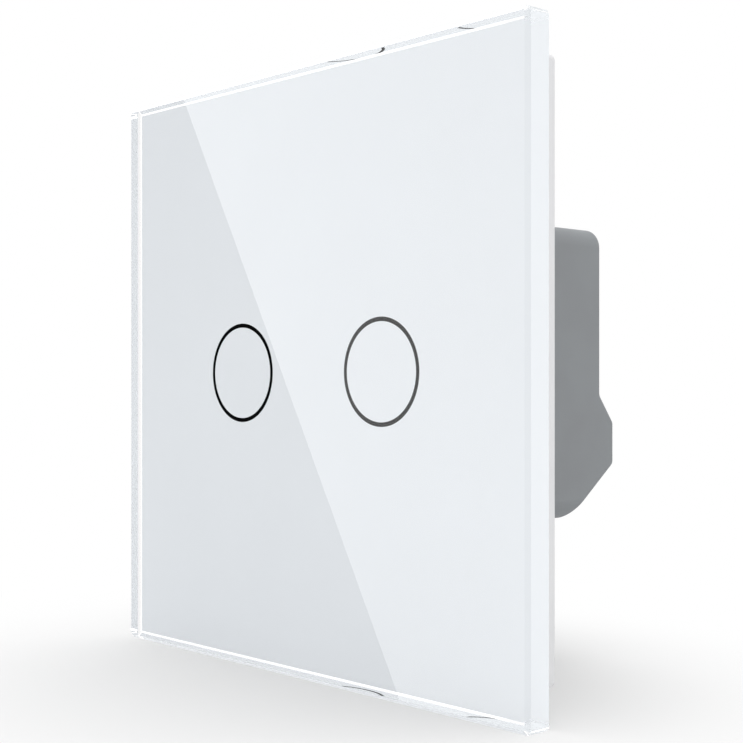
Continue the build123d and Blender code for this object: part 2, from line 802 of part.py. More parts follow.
# The outside of the housing as one closed form
with BuildPart() as housing_form:
    with BuildSketch(Plane.YZ.offset(-housing_width / 2)) as side_outline:
        with BuildLine():
            Polyline(*outline_points, close=True)
        make_face()
        hump_corners = side_outline.vertices().filter_by_position(
            Axis.Y, hump_low_z - hump_round, slope_start_z + hump_round
        )
        fillet(hump_corners, hump_round)
    extrude(amount=housing_width)
    fillet(housing_form.edges().filter_by(Axis.Y), housing_corner)
    back_rims = (
        housing_form.edges()
        .filter_by(Axis.Y, reverse=True)
        .filter_by(lambda e: abs(e.center().X) > housing_width / 2 - housing_wall)
        .filter_by(lambda e: e.center().Y > housing_front + housing_wall)
    )
    cross_rims = housing_form.edges().filter_by(Axis.X)
    top_rim = cross_rims.sort_by_distance((0, housing_depth, housing_top))[0]
    low_rim = cross_rims.sort_by_distance((0, slope_end_y, -housing_bottom))[0]
    fillet([*back_rims, top_rim, low_rim], housing_edge_round)

# The block round the terminals, cut to the outside of the housing
with BuildPart() as terminal_block:
    add(housing_form.part)
    with BuildSketch(clamp.offset(-block_floor)):
        with Locations((0, block_start + hump_depth / 2)):
            Rectangle(block_width, hump_depth)
    extrude(amount=hump_depth, mode=Mode.INTERSECT)

with BuildPart() as rear_housing:
    add(housing_form.part)
    with BuildSketch(Plane.YZ.offset(-inner_half_width)):
        with BuildLine():
            Polyline(*outline_points, close=True)
        make_face()
        offset(amount=-housing_wall, kind=Kind.INTERSECTION, mode=Mode.REPLACE)
        with Locations(((housing_front + housing_wall) / 2, housing_middle)):
            Rectangle(housing_wall - housing_front, inner_top + inner_bottom)
    extrude(amount=2 * inner_half_width, mode=Mode.SUBTRACT)
    add(terminal_block.part)
    # Bosses for the bracket's screws
    with BuildSketch(facing(boss_length)):
        with GridLocations(bracket_screw_pitch_x, bracket_screw_pitch_z, 2, 2):
            Circle(boss_diameter / 2)
    extrude(amount=boss_length - housing_front)
    screw_end = pan_front + bracket_screw_length + boss_bore_extra
    with BuildSketch(facing(screw_end)):
        with GridLocations(bracket_screw_pitch_x, bracket_screw_pitch_z, 2, 2):
            Circle(screw_radius + boss_bore_gap)
    extrude(amount=screw_end - housing_front, mode=Mode.SUBTRACT)
    # Ledges under the power board and nibs over its edge
    for side, inner in ((1, inner_top), (-1, -inner_bottom)):
        with BuildSketch(facing(power_board_back + ledge_length)):
            with Locations((0, inner - side * ledge_reach / 2)):
                with GridLocations(ledge_pitch, 0, 2, 1):
                    Rectangle(ledge_width, ledge_reach)
        extrude(amount=ledge_length)
        for x in (-ledge_pitch / 2, ledge_pitch / 2):
            with BuildSketch(Plane.YZ.offset(x - ledge_width / 2)):
                with BuildLine():
                    Polyline(
                        (power_board_y - nib_gap, inner),
                        (power_board_y - nib_gap, inner - side * nib_reach),
                        (power_board_y - nib_gap - nib_length, inner),
                        close=True,
                    )
                make_face()
            extrude(amount=ledge_width)
    # Terminal pockets, strip slots, screw seats, driver holes, wire entries
    poles = [(x, 0) for x in pole_places]
    with BuildSketch(clamp.offset(-block_floor)):
        with Locations(*poles):
            Rectangle(pocket_width, 2 * pocket_end)
    extrude(amount=block_floor + pocket_roof, mode=Mode.SUBTRACT)
    with BuildSketch(clamp.offset(-block_floor)):
        with Locations(*[(x, block_start + block_back_wall / 2) for x in pole_places]):
            Rectangle(strip_width + 2 * strip_slot_gap, block_back_wall)
    extrude(amount=block_floor + strip_high + strip_slot_gap, mode=Mode.SUBTRACT)
    with BuildSketch(clamp.offset(pocket_roof)):
        with Locations(*poles):
            Circle(terminal_head / 2 + terminal_head_gap)
    extrude(amount=lip_low - pocket_roof, mode=Mode.SUBTRACT)
    with BuildSketch(clamp.offset(lip_low)):
        with Locations(*poles):
            Circle(driver_hole / 2)
    extrude(amount=terminal_lip, mode=Mode.SUBTRACT)
    with BuildSketch(wire_plane(pocket_end)):
        with Locations(*poles):
            Circle(wire_hole / 2)
    extrude(amount=wire_hole_length, mode=Mode.SUBTRACT)
    for x in pole_places:
        with BuildSketch(wire_plane(funnel_start)):
            with Locations((x, 0)):
                Circle(wire_hole / 2)
        with BuildSketch(wire_plane(lower_slope)):
            with Locations((x, 0)):
                Circle(wire_funnel / 2)
        loft(mode=Mode.SUBTRACT)
rear_housing.part.label = "rear_housing"
export_step(rear_housing.part, "parts/rear_housing.step")

# Fixed strips: flat in the clamp, bent towards the power board and through it
with BuildPart() as terminal_contacts:
    strip_start = tilted(strip_middle, strip_reach)
    strip_knee = tilted(strip_middle, -strip_tail_reach)
    with BuildSketch(Plane.YZ.offset(-strip_width / 2)) as strip_outline:
        with BuildLine() as strip_line:
            FilletPolyline(strip_start, strip_knee, (lead_tip, strip_knee[1]), radius=strip_bend)
        trace(line_width=strip_thick)
    strip_face = strip_outline.sketch
    for x in pole_places:
        extrude(strip_face.moved(Location((x, 0, 0))), amount=strip_width)
terminal_contacts.part.label = "terminal_contacts"
export_step(terminal_contacts.part, "parts/terminal_contacts.step")

# A rising cage and a captive screw for each pole
for number, x in enumerate(pole_places, start=1):
    with BuildPart() as terminal_cage:
        with BuildSketch(clamp.offset(cage_low)):
            with Locations((x, 0)):
                Rectangle(cage_width, cage_length)
        extrude(amount=cage_high - cage_low)
        cage_edges = terminal_cage.edges().filter_by(lambda e: abs(e.length - cage_length) < cage_round)
        fillet(cage_edges, cage_round)
        with BuildSketch(clamp.offset(cage_low + cage_floor)):
            with Locations((x, 0)):
                Rectangle(cage_width - 2 * cage_wall, cage_length)
        extrude(amount=cage_roof - cage_low - cage_floor, mode=Mode.SUBTRACT)
        with BuildSketch(clamp.offset(cage_roof)):
            with Locations((x, 0)):
                Circle(terminal_thread / 2 + terminal_thread_gap)
        extrude(amount=cage_floor, mode=Mode.SUBTRACT)
    terminal_cage.part.label = f"terminal_cage_{number}"
    export_step(terminal_cage.part, f"parts/terminal_cage_{number}.step")

    with BuildPart() as terminal_screw:
        with BuildSketch(clamp.offset(strip_high + terminal_tip_gap)):
            with Locations((x, 0)):
                Circle(terminal_thread / 2)
        extrude(amount=head_low - strip_high - terminal_tip_gap)
        with BuildSketch(clamp.offset(head_low)):
            with Locations((x, 0)):
                Circle(terminal_head / 2)
        extrude(amount=terminal_head_height)
        with BuildSketch(clamp.offset(head_high - terminal_cross_depth)):
            with Locations((x, 0)):
                Rectangle(terminal_cross_span, terminal_cross_width)
                Rectangle(terminal_cross_width, terminal_cross_span)
        extrude(amount=terminal_cross_depth, mode=Mode.SUBTRACT)
    terminal_screw.part.label = f"terminal_screw_{number}"
    export_step(terminal_screw.part, f"parts/terminal_screw_{number}.step")

# Relay bases, with holes for the pins
relay_back = power_board_back + relay_depth
yoke_back = power_board_back + relay_base_thick
base_width = relay_width - 2 * relay_wall - 2 * relay_fit
base_height = relay_height - 2 * relay_wall - 2 * relay_fit
coil_pins = [(x + side * coil_pin_pitch / 2, z + coil_pin_z) for x, z in relay_places for side in (-1, 1)]
common_pins = [(x, z - yoke_reach + yoke_thick / 2 + relay_pin_diameter) for x, z in relay_places]
blade_spots = [(x, z + contact_z + fixed_blade_setback) for x, z in relay_places]
pin_hole = relay_pin_diameter / 2 + relay_pin_gap
pin_play = 2 * relay_pin_gap
with BuildPart() as relay_bases:
    with BuildSketch(facing(yoke_back)):
        with Locations(*relay_places):
            Rectangle(base_width, base_height)
        with Locations(*coil_pins, *common_pins):
            Circle(pin_hole, mode=Mode.SUBTRACT)
        with Locations(*blade_spots):
            Rectangle(fixed_blade_width + pin_play, fixed_blade_thick + pin_play, mode=Mode.SUBTRACT)
    extrude(amount=relay_base_thick)
relay_bases.part.label = "relay_bases"
export_step(relay_bases.part, "parts/relay_bases.step")

with BuildPart() as relay_cases:
    with BuildSketch(facing(relay_back)):
        with Locations(*relay_places):
            RectangleRounded(relay_width, relay_height, relay_wall)
    extrude(amount=relay_depth)
    with BuildSketch(facing(relay_back - relay_wall)):
        with Locations(*relay_places):
            Rectangle(relay_width - 2 * relay_wall, relay_height - 2 * relay_wall)
    extrude(amount=relay_depth - relay_wall, mode=Mode.SUBTRACT)
relay_cases.part.label = "relay_cases"
export_step(relay_cases.part, "parts/relay_cases.step")

# Yoke and core: an L of iron with the pole on top of the core
with BuildPart() as relay_yokes:
    for x, z in relay_places:
        with BuildSketch(Plane.YZ.offset(x - yoke_width / 2)):
            with BuildLine():
                Polyline(
                    (yoke_back, z - yoke_reach),
                    (yoke_back + yoke_rise, z - yoke_reach),
                    (yoke_back + yoke_rise, z - yoke_reach + yoke_thick),
                    (yoke_back + yoke_thick, z - yoke_reach + yoke_thick),
                    (yoke_back + yoke_thick, z + core_z + core_diameter),
                    (yoke_back, z + core_z + core_diameter),
                    close=True,
                )
            make_face()
        extrude(amount=yoke_width)
    core_places = [(x, z + core_z) for x, z in relay_places]
    with BuildSketch(facing(yoke_back + core_rise)):
        with Locations(*core_places):
            Circle(core_diameter / 2)
    extrude(amount=core_rise - yoke_thick)
    with BuildSketch(facing(yoke_back + core_rise)):
        with Locations(*core_places):
            Circle(pole_diameter / 2)
    extrude(amount=pole_thick)
relay_yokes.part.label = "relay_yokes"
export_step(relay_yokes.part, "parts/relay_yokes.step")

# Bobbins and their windings round the cores
bobbin_start = yoke_back + yoke_thick + bobbin_gap
bobbin_end = yoke_back + core_rise - pole_thick - bobbin_gap
winding_start = bobbin_start + bobbin_flange_thick
winding_end = bobbin_end - bobbin_flange_thick
with BuildPart() as relay_bobbins:
    for start in (bobbin_start, bobbin_end - bobbin_flange_thick):
        with BuildSketch(facing(start + bobbin_flange_thick)):
            with Locations(*core_places):
                RectangleRounded(bobbin_flange_width, bobbin_flange_height, bobbin_flange_thick)
        extrude(amount=bobbin_flange_thick)
    with BuildSketch(facing(bobbin_end)):
        with Locations(*core_places):
            Circle(bobbin_tube_diameter / 2)
    extrude(amount=bobbin_end - bobbin_start)
    with BuildSketch(facing(bobbin_end)):
        with Locations(*core_places):
            Circle(core_diameter / 2 + bobbin_gap)
    extrude(amount=bobbin_end - bobbin_start, mode=Mode.SUBTRACT)
relay_bobbins.part.label = "relay_bobbins"
export_step(relay_bobbins.part, "parts/relay_bobbins.step")

with BuildPart() as relay_windings:
    with BuildSketch(facing(winding_end - bobbin_gap)):
        with Locations(*core_places):
            Circle(winding_diameter / 2)
            Circle(bobbin_tube_diameter / 2 + bobbin_gap, mode=Mode.SUBTRACT)
    extrude(amount=winding_end - winding_start - 2 * bobbin_gap)
relay_windings.part.label = "relay_windings"
export_step(relay_windings.part, "parts/relay_windings.step")

with BuildPart() as relay_pins:
    with BuildSketch(facing(yoke_back)):
        with Locations(*coil_pins, *common_pins):
            Circle(relay_pin_diameter / 2)
    extrude(amount=yoke_back - lead_tip)
relay_pins.part.label = "relay_pins"
export_step(relay_pins.part, "parts/relay_pins.step")

# Fixed contacts: a blade from the board with a pad turned under the moving contact
armature_face = yoke_back + yoke_rise + armature_gap
hinge_z = -yoke_reach + yoke_thick / 2
closed_drop = (contact_z + contact_diameter / 2 - hinge_z) * sin(radians(armature_travel_deg))
fixed_top = armature_face - contact_height - closed_drop - closed_contact_gap
with BuildPart() as relay_contacts:
    pad_back = fixed_top - contact_height
    for x, z in relay_places:
        blade_z = z + contact_z + fixed_blade_setback
        with BuildSketch(facing(pad_back)):
            with Locations((x, blade_z)):
                Rectangle(fixed_blade_width, fixed_blade_thick)
        extrude(amount=pad_back - lead_tip)
        with BuildSketch(facing(pad_back)):
            pad_reach = fixed_blade_setback + contact_diameter / 2
            with Locations((x, blade_z + fixed_blade_thick / 2 - pad_reach / 2)):
                Rectangle(fixed_blade_width, pad_reach)
        extrude(amount=fixed_blade_thick)
        with BuildSketch(facing(fixed_top)):
            with Locations((x, z + contact_z)):
                Circle(contact_diameter / 2)
        extrude(amount=contact_height)
relay_contacts.part.label = "relay_contacts"
export_step(relay_contacts.part, "parts/relay_contacts.step")

# Armatures: an iron plate on the yoke's edge that carries the moving contact on a springy blade
for side, (x, z) in zip(("left", "right"), relay_places):
    with BuildPart() as relay_armature:
        start_z = z - yoke_reach
        with BuildSketch(facing(armature_face + armature_thick)):
            with Locations((x, start_z + armature_length / 2)):
                Rectangle(yoke_width, armature_length)
        extrude(amount=armature_thick)
        with BuildSketch(facing(armature_face + contact_blade_thick)):
            with Locations((x, start_z + (armature_length + contact_blade_length) / 2)):
                Rectangle(contact_blade_width, contact_blade_length - armature_length)
        extrude(amount=contact_blade_thick)
        with BuildSketch(facing(armature_face)):
            with Locations((x, z + contact_z)):
                Circle(contact_diameter / 2)
        extrude(amount=contact_height)
    relay_armature.part.label = f"relay_armature_{side}"
    export_step(relay_armature.part, f"parts/relay_armature_{side}.step")

# Parts with two leads stand on the back of the power board, their leads through it
film_leads = [(film_x + side * film_lead_pitch / 2, film_z) for side in (-1, 1)]
with BuildPart() as film_capacitor:
    with BuildSketch(facing(power_board_back + film_depth)):
        with Locations((film_x, film_z)):
            Rectangle(film_width, film_height)
    extrude(amount=film_depth)
    fillet(film_capacitor.edges().group_by(Axis.Y)[-1], film_round)
    with BuildSketch(facing(power_board_back)):
        with Locations(*film_leads):
            Circle(lead_diameter / 2)
    extrude(amount=power_board_back - lead_tip)
film_capacitor.part.label = "film_capacitor"
export_step(film_capacitor.part, "parts/film_capacitor.step")

electrolytic_places = [(electrolytic_x, electrolytic_low_z), (electrolytic_x, electrolytic_high_z)]
electrolytic_leads = [
    (x, z + side * electrolytic_lead_pitch / 2) for x, z in electrolytic_places for side in (-1, 1)
]
with BuildPart() as electrolytic_capacitors:
    groove_back = power_board_back + electrolytic_groove_y + 2 * electrolytic_groove
    with BuildSketch(facing(power_board_back + electrolytic_depth)):
        with Locations(*electrolytic_places):
            Circle(electrolytic_diameter / 2)
    extrude(amount=electrolytic_depth)
    chamfer(electrolytic_capacitors.edges().group_by(Axis.Y)[-1], electrolytic_chamfer)
    with BuildSketch(facing(groove_back)):
        with Locations(*electrolytic_places):
            Circle(electrolytic_diameter / 2)
            Circle(electrolytic_diameter / 2 - electrolytic_groove, mode=Mode.SUBTRACT)
    extrude(amount=2 * electrolytic_groove, mode=Mode.SUBTRACT)
    with BuildSketch(facing(power_board_back)):
        with Locations(*electrolytic_leads):
            Circle(lead_diameter / 2)
    extrude(amount=power_board_back - lead_tip)
electrolytic_capacitors.part.label = "electrolytic_capacitors"
export_step(electrolytic_capacitors.part, "parts/electrolytic_capacitors.step")

choke_leads = [(choke_x, choke_z + side * choke_lead_pitch / 2) for side in (-1, 1)]
with BuildPart() as choke_core:
    for back in (power_board_back + choke_flange, power_board_back + choke_depth):
        with BuildSketch(facing(back)):
            with Locations((choke_x, choke_z)):
                Circle(choke_diameter / 2)
        extrude(amount=choke_flange)
    with BuildSketch(facing(power_board_back + choke_depth)):
        with Locations((choke_x, choke_z)):
            Circle(choke_neck / 2)
    extrude(amount=choke_depth)
    with BuildSketch(facing(power_board_back)):
        with Locations(*choke_leads):
            Circle(lead_diameter / 2)
    extrude(amount=power_board_back - lead_tip)
choke_core.part.label = "choke_core"
export_step(choke_core.part, "parts/choke_core.step")

with BuildPart() as choke_winding:
    with BuildSketch(facing(power_board_back + choke_depth - choke_flange - choke_winding_gap)):
        with Locations((choke_x, choke_z)):
            Circle(choke_winding_diameter / 2)
            Circle(choke_neck / 2 + choke_winding_gap, mode=Mode.SUBTRACT)
    extrude(amount=choke_depth - 2 * choke_flange - 2 * choke_winding_gap)
choke_winding.part.label = "choke_winding"
export_step(choke_winding.part, "parts/choke_winding.step")

varistor_leads = [(varistor_x, varistor_z + side * varistor_lead_pitch / 2) for side in (-1, 1)]
varistor_middle = power_board_back + varistor_standoff + varistor_diameter / 2
with BuildPart() as varistor:
    with BuildSketch(Plane.YZ.offset(varistor_x - varistor_thick / 2)):
        with Locations((varistor_middle, varistor_z)):
            Circle(varistor_diameter / 2)
    extrude(amount=varistor_thick)
    chamfer(varistor.edges().filter_by(GeomType.CIRCLE), varistor_chamfer)
    with BuildSketch(facing(varistor_middle)):
        with Locations(*varistor_leads):
            Circle(lead_diameter / 2)
    extrude(amount=varistor_middle - lead_tip)
varistor.part.label = "varistor"
export_step(varistor.part, "parts/varistor.step")

fuse_leads = [(fuse_x, fuse_z + side * fuse_lead_pitch / 2) for side in (-1, 1)]
with BuildPart() as fuse:
    with BuildSketch(facing(power_board_back + fuse_depth)):
        with Locations((fuse_x, fuse_z)):
            Circle(fuse_diameter / 2)
    extrude(amount=fuse_depth)
    chamfer(fuse.edges().group_by(Axis.Y)[-1], fuse_chamfer)
    with BuildSketch(facing(power_board_back)):
        with Locations(*fuse_leads):
            Circle(lead_diameter / 2)
    extrude(amount=power_board_back - lead_tip)
fuse.part.label = "fuse"
export_step(fuse.part, "parts/fuse.step")

with BuildPart() as bridge_rectifier:
    with BuildSketch(facing(power_board_back + rectifier_depth)):
        with Locations((rectifier_x, rectifier_z)):
            Rectangle(rectifier_width, rectifier_height)
    extrude(amount=rectifier_depth)
    with BuildSketch(facing(power_board_back + rectifier_leg_thick)):
        with Locations((rectifier_x, rectifier_z)):
            with GridLocations(rectifier_leg_pitch, rectifier_height + rectifier_leg_reach, 2, 2):
                Rectangle(rectifier_leg_width, rectifier_leg_reach)
    extrude(amount=rectifier_leg_thick)
bridge_rectifier.part.label = "bridge_rectifier"
export_step(bridge_rectifier.part, "parts/bridge_rectifier.step")

# Control chip on the front of the power board
with BuildPart() as control_chip:
    with BuildSketch(facing(power_board_y)):
        with Locations((control_chip_x, control_chip_z)):
            Rectangle(control_chip_count * chip_leg_pitch, chip_width)
    extrude(amount=chip_height)
    with BuildSketch(facing(power_board_y)):
        with Locations((control_chip_x, control_chip_z)):
            with GridLocations(chip_leg_pitch, chip_width + chip_leg_reach, control_chip_count, 2):
                Rectangle(chip_leg_width, chip_leg_reach)
    extrude(amount=chip_leg_thick)
control_chip.part.label = "control_chip"
export_step(control_chip.part, "parts/control_chip.step")

# Power board, cut round the housing's bosses, with a hole for every lead
board_half_width = inner_half_width - power_board_edge_gap
board_half_height = (inner_top + inner_bottom) / 2 - power_board_edge_gap
boss_clear_x = bracket_screw_pitch_x / 2 - boss_diameter / 2 - power_board_boss_gap
boss_clear_z = bracket_screw_pitch_z / 2 - boss_diameter / 2 - power_board_boss_gap
lead_play = 2 * lead_hole_gap
lead_places = film_leads + electrolytic_leads + choke_leads + varistor_leads + fuse_leads
with BuildPart() as power_board:
    with BuildSketch(facing(power_board_back)):
        with Locations((0, housing_middle)):
            Rectangle(2 * board_half_width, 2 * board_half_height)
        with GridLocations(board_half_width + boss_clear_x, board_half_height + boss_clear_z, 2, 2):
            Rectangle(board_half_width - boss_clear_x, board_half_height - boss_clear_z, mode=Mode.SUBTRACT)
        with Locations(*lead_places):
            Circle(lead_diameter / 2 + lead_hole_gap, mode=Mode.SUBTRACT)
        with Locations(*coil_pins, *common_pins):
            Circle(relay_pin_diameter / 2 + lead_hole_gap, mode=Mode.SUBTRACT)
        with Locations(*blade_spots):
            Rectangle(fixed_blade_width + lead_play, fixed_blade_thick + lead_play, mode=Mode.SUBTRACT)
        with Locations(*[(x, strip_knee[1]) for x in pole_places]):
            Rectangle(strip_width + lead_play, strip_thick + lead_play, mode=Mode.SUBTRACT)
    extrude(amount=power_board_thick)
power_board.part.label = "power_board"
export_step(power_board.part, "parts/power_board.step")
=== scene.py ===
import math

import bmesh
import bpy
from mathutils import Matrix, Vector


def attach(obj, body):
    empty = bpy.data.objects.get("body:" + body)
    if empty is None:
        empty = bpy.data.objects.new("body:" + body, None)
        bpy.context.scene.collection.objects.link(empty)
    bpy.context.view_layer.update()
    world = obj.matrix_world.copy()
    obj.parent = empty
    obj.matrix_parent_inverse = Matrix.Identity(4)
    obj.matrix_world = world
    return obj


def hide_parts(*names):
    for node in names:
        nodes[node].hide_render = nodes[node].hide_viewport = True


# Touch light switch, two gangs. Lengths in the dictionaries are millimetres, and mm turns them to metres.
mm = 0.001
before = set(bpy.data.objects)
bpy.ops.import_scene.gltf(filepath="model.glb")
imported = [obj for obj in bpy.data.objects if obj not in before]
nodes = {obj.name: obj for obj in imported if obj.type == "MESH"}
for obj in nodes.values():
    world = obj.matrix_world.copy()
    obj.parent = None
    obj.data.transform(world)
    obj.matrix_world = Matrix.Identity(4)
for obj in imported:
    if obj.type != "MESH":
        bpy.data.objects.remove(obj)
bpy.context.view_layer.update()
scene = bpy.context.scene
scene.view_settings.view_transform = "Standard"


def linear(hexColour):
    parts = [int(hexColour[i:i + 2], 16) / 255 for i in (1, 3, 5)]
    return [p / 12.92 if p <= 0.04045 else ((p + 0.055) / 1.055) ** 2.4 for p in parts] + [1]


def addNode(tree, kind, inputs=None, **settings):
    node = tree.nodes.new("ShaderNode" + kind)
    for name, value in settings.items():
        setattr(node, name, value)
    for socket, value in (inputs or {}).items():
        if isinstance(value, bpy.types.NodeSocket):
            tree.links.new(value, node.inputs[socket])
        else:
            node.inputs[socket].default_value = value
    return node


def place(tree):
    return addNode(tree, "TexCoord").outputs["Object"]


# Materials. Each starts from its real colour, roughness and IOR, then gets the detail of how it was made.
def startMaterial(name, colour, roughness, metallic=0.0, ior=1.5, more=None):
    material = bpy.data.materials.new(name)
    material.use_nodes = True
    tree = material.node_tree
    shader = tree.nodes["Principled BSDF"]
    facts = {"Base Color": linear(colour), "Roughness": roughness, "Metallic": metallic, "IOR": ior}
    for socket, value in (facts | (more or {})).items():
        shader.inputs[socket].default_value = value
    material.diffuse_color = linear(colour)
    return material, tree, shader


# The studio: a white room, and a pale paper floor that runs out to white away from the object
studio = {
    "white": "#FFFFFF",
    "ambient": 0.64,            # what the white room gives to matt surfaces
    "floorColour": "#B4B4B4",
    "floorGlow": 0.17,          # what the paper adds for the camera, near the object
    "floorRunsOut": (35, 100),  # between these distances the paper runs out to white
    "floorZ": -40.02,
    "floorHalf": 4000.0,
}


def inView(tree, path):
    # 1 for rays that come from the camera, off polished faces or through the glass
    seen = addNode(tree, "Math", {0: path.outputs["Is Camera Ray"], 1: path.outputs["Is Glossy Ray"]},
                   operation="ADD")
    return addNode(tree, "Math", {0: seen.outputs[0], 1: path.outputs["Is Transmission Ray"]},
                   operation="ADD", use_clamp=True).outputs[0]


def studioWorld():
    world = bpy.data.worlds.new("whiteRoom")
    world.use_nodes = True
    tree = world.node_tree
    tree.nodes.clear()
    path = addNode(tree, "LightPath")
    lit = addNode(tree, "Math", {0: path.outputs["Diffuse Depth"], 1: 0.5}, operation="LESS_THAN")
    white = addNode(tree, "Math", {0: inView(tree, path), 1: lit.outputs[0]}, operation="MULTIPLY")
    strength = addNode(tree, "MapRange",
                       {"Value": white.outputs[0], "To Min": studio["ambient"], "To Max": 1.0})
    glow = addNode(tree, "Background", {"Color": linear(studio["white"]), "Strength": strength.outputs[0]})
    addNode(tree, "OutputWorld", {"Surface": glow.outputs[0]})
    scene.world = world


def studioFloor():
    half = studio["floorHalf"] * mm
    mesh = bpy.data.meshes.new("paleSweep")
    z = studio["floorZ"] * mm
    corners = [(-half, -half, z), (half, -half, z), (half, half, z), (-half, half, z)]
    mesh.from_pydata(corners, [], [(0, 1, 2, 3)])
    floor = bpy.data.objects.new("paleSweep", mesh)
    scene.collection.objects.link(floor)
    paper = bpy.data.materials.new("seamlessPaper")
    paper.use_nodes = True
    tree = paper.node_tree
    tree.nodes.clear()
    seen = inView(tree, addNode(tree, "LightPath"))
    glow = addNode(tree, "Math", {0: seen, 1: studio["floorGlow"]}, operation="MULTIPLY")
    matt = addNode(tree, "BsdfDiffuse", {"Color": linear(studio["floorColour"])})
    light = addNode(tree, "Emission", {"Color": linear(studio["white"]), "Strength": glow.outputs[0]})
    near = addNode(tree, "AddShader", {0: matt.outputs[0], 1: light.outputs[0]})
    away = addNode(tree, "VectorMath", {0: place(tree)}, operation="LENGTH")
    low, high = studio["floorRunsOut"]
    share = addNode(tree, "MapRange",
                    {"Value": away.outputs["Value"], "From Min": low * mm, "From Max": high * mm},
                    interpolation_type="SMOOTHERSTEP")
    share = addNode(tree, "Math", {0: share.outputs[0], 1: seen}, operation="MULTIPLY")
    far = addNode(tree, "Emission", {"Color": linear(studio["white"]), "Strength": 1.0})
    both = addNode(tree, "MixShader", {0: share.outputs[0], 1: near.outputs[0], 2: far.outputs[0]})
    addNode(tree, "OutputMaterial", {"Surface": both.outputs[0]})
    mesh.materials.append(paper)
    floor.visible_glossy = False  # polished faces and the glass see the white room beyond it
    floor.visible_transmission = False
    return floor


def softbox(name, at, aim, width, height, radiance, roll=0, floor="off", shine=True):
    lamp = bpy.data.lights.new(name, "AREA")
    lamp.shape = "RECTANGLE"
    lamp.size, lamp.size_y = width * mm, height * mm
    lamp.energy = radiance * math.pi * lamp.size * lamp.size_y
    box = bpy.data.objects.new(name, lamp)
    scene.collection.objects.link(box)
    facing = (Vector(aim) - Vector(at)).to_track_quat("-Z", "Y").to_matrix().to_4x4()
    rolled = Matrix.Rotation(math.radians(roll), 4, "Z")
    box.matrix_world = Matrix.Translation(Vector(at) * mm) @ facing @ rolled
    box.visible_camera = False
    box.visible_glossy = shine
    lights = bpy.data.collections.new(name + "Lights")
    lights.objects.link(paleSweep)
    lights.collection_objects[0].light_linking.link_state = "INCLUDE" if floor == "only" else "EXCLUDE"
    box.light_linking.receiver_collection = lights


# The front softbox ends along the slanting line that the photograph shows across the glass. A radiance of 1
# is as bright as the white room.
softboxes = {
    "frontLeft": dict(at=(-316.1, -527.6, 37.2), aim=(121.7, -117.3, 37.2), width=420, height=700,
                      radiance=1.65, roll=19.8),
    "frontFill": dict(at=(60, -700, 120), aim=(0, 0, 0), width=600, height=600, radiance=1.0, shine=False),
    "backRight": dict(at=(520, 440, 60), aim=(0, 0, 0), width=500, height=600, radiance=1.3),
    "overhead": dict(at=(60, 40, 700), aim=(0, 0, 0), width=500, height=500, radiance=2.9),
    "edgeLight": dict(at=(-518, 154, 448), aim=(0, 0, 0), width=330, height=330, radiance=3.0),
    "floorPanel": dict(at=(0, 120, 440), aim=(0, 120, 0), width=720, height=640, radiance=3.2, floor="only"),
}


# Cards that only rays from polished surfaces find: a black one that the left half of the glass mirrors, and a
# bright one that the clear rim of the glass is seen against
cards = {
    "blackFlag": dict(at=(-602, -350, 0), width=640, height=1100, glow=0.0, seenIn="glossy"),
    "rimCard": dict(at=(-676, 424, 0), width=500, height=900, glow=1.3, seenIn="transmission"),
}


def studioCard(name, at, width, height, glow, seenIn):
    mesh = bpy.data.meshes.new(name)
    x, y = width / 2 * mm, height / 2 * mm
    mesh.from_pydata([(-x, -y, 0), (x, -y, 0), (x, y, 0), (-x, y, 0)], [], [(0, 1, 2, 3)])
    lit = {"Specular IOR Level": 0.0, "Emission Color": linear(studio["white"]), "Emission Strength": glow}
    mesh.materials.append(startMaterial(name + "Board", "#000000", 1.0, more=lit)[0])
    card = bpy.data.objects.new(name, mesh)
    scene.collection.objects.link(card)
    facing = Vector(at).to_track_quat("Z", "Y").to_matrix().to_4x4()
    card.matrix_world = Matrix.Translation(Vector(at) * mm) @ facing
    card.visible_camera = card.visible_diffuse = card.visible_shadow = False
    card.visible_glossy = seenIn == "glossy"
    card.visible_transmission = seenIn == "transmission"


# The photograph's view, fitted to the corners of the glass
photoCamera = {"at": (138.93, -121.86, -1.22), "turn": 47.70, "lens": 66.41, "sensor": 36, "clip": (0.01, 50),
               "shift": (0.0, 0.0136)}


def studioCamera():
    camera = bpy.data.cameras.new("camera")
    camera.sensor_width = photoCamera["sensor"]
    camera.lens = photoCamera["lens"]
    camera.shift_x, camera.shift_y = photoCamera["shift"]
    camera.clip_start, camera.clip_end = photoCamera["clip"]
    eye = bpy.data.objects.new("camera", camera)
    scene.collection.objects.link(eye)
    eye.location = Vector(photoCamera["at"]) * mm
    eye.rotation_euler = (math.radians(90), 0, math.radians(photoCamera["turn"]))
    scene.camera = eye


# The clear rim of the glass turns light many times between its ground faces before it lets it out
lightBounces = 32
scene.cycles.max_bounces = scene.cycles.transmission_bounces = scene.cycles.glossy_bounces = lightBounces

studioWorld()
paleSweep = studioFloor()
for boxName, boxFacts in softboxes.items():
    softbox(boxName, **boxFacts)
studioCamera()
for cardName, cardFacts in cards.items():
    studioCard(cardName, **cardFacts)
print("studio: white room, floor, softboxes, cards and camera are up")


def speckle(tree, where, size, detail=2.0, stretch=None):
    # Noise whose spots are about size millimetres across
    if stretch:
        where = addNode(tree, "Mapping", {"Vector": where, "Scale": stretch}).outputs[0]
    facts = {"Vector": where, "Scale": 1 / (size * mm), "Detail": detail}
    return addNode(tree, "TexNoise", facts).outputs["Fac"]


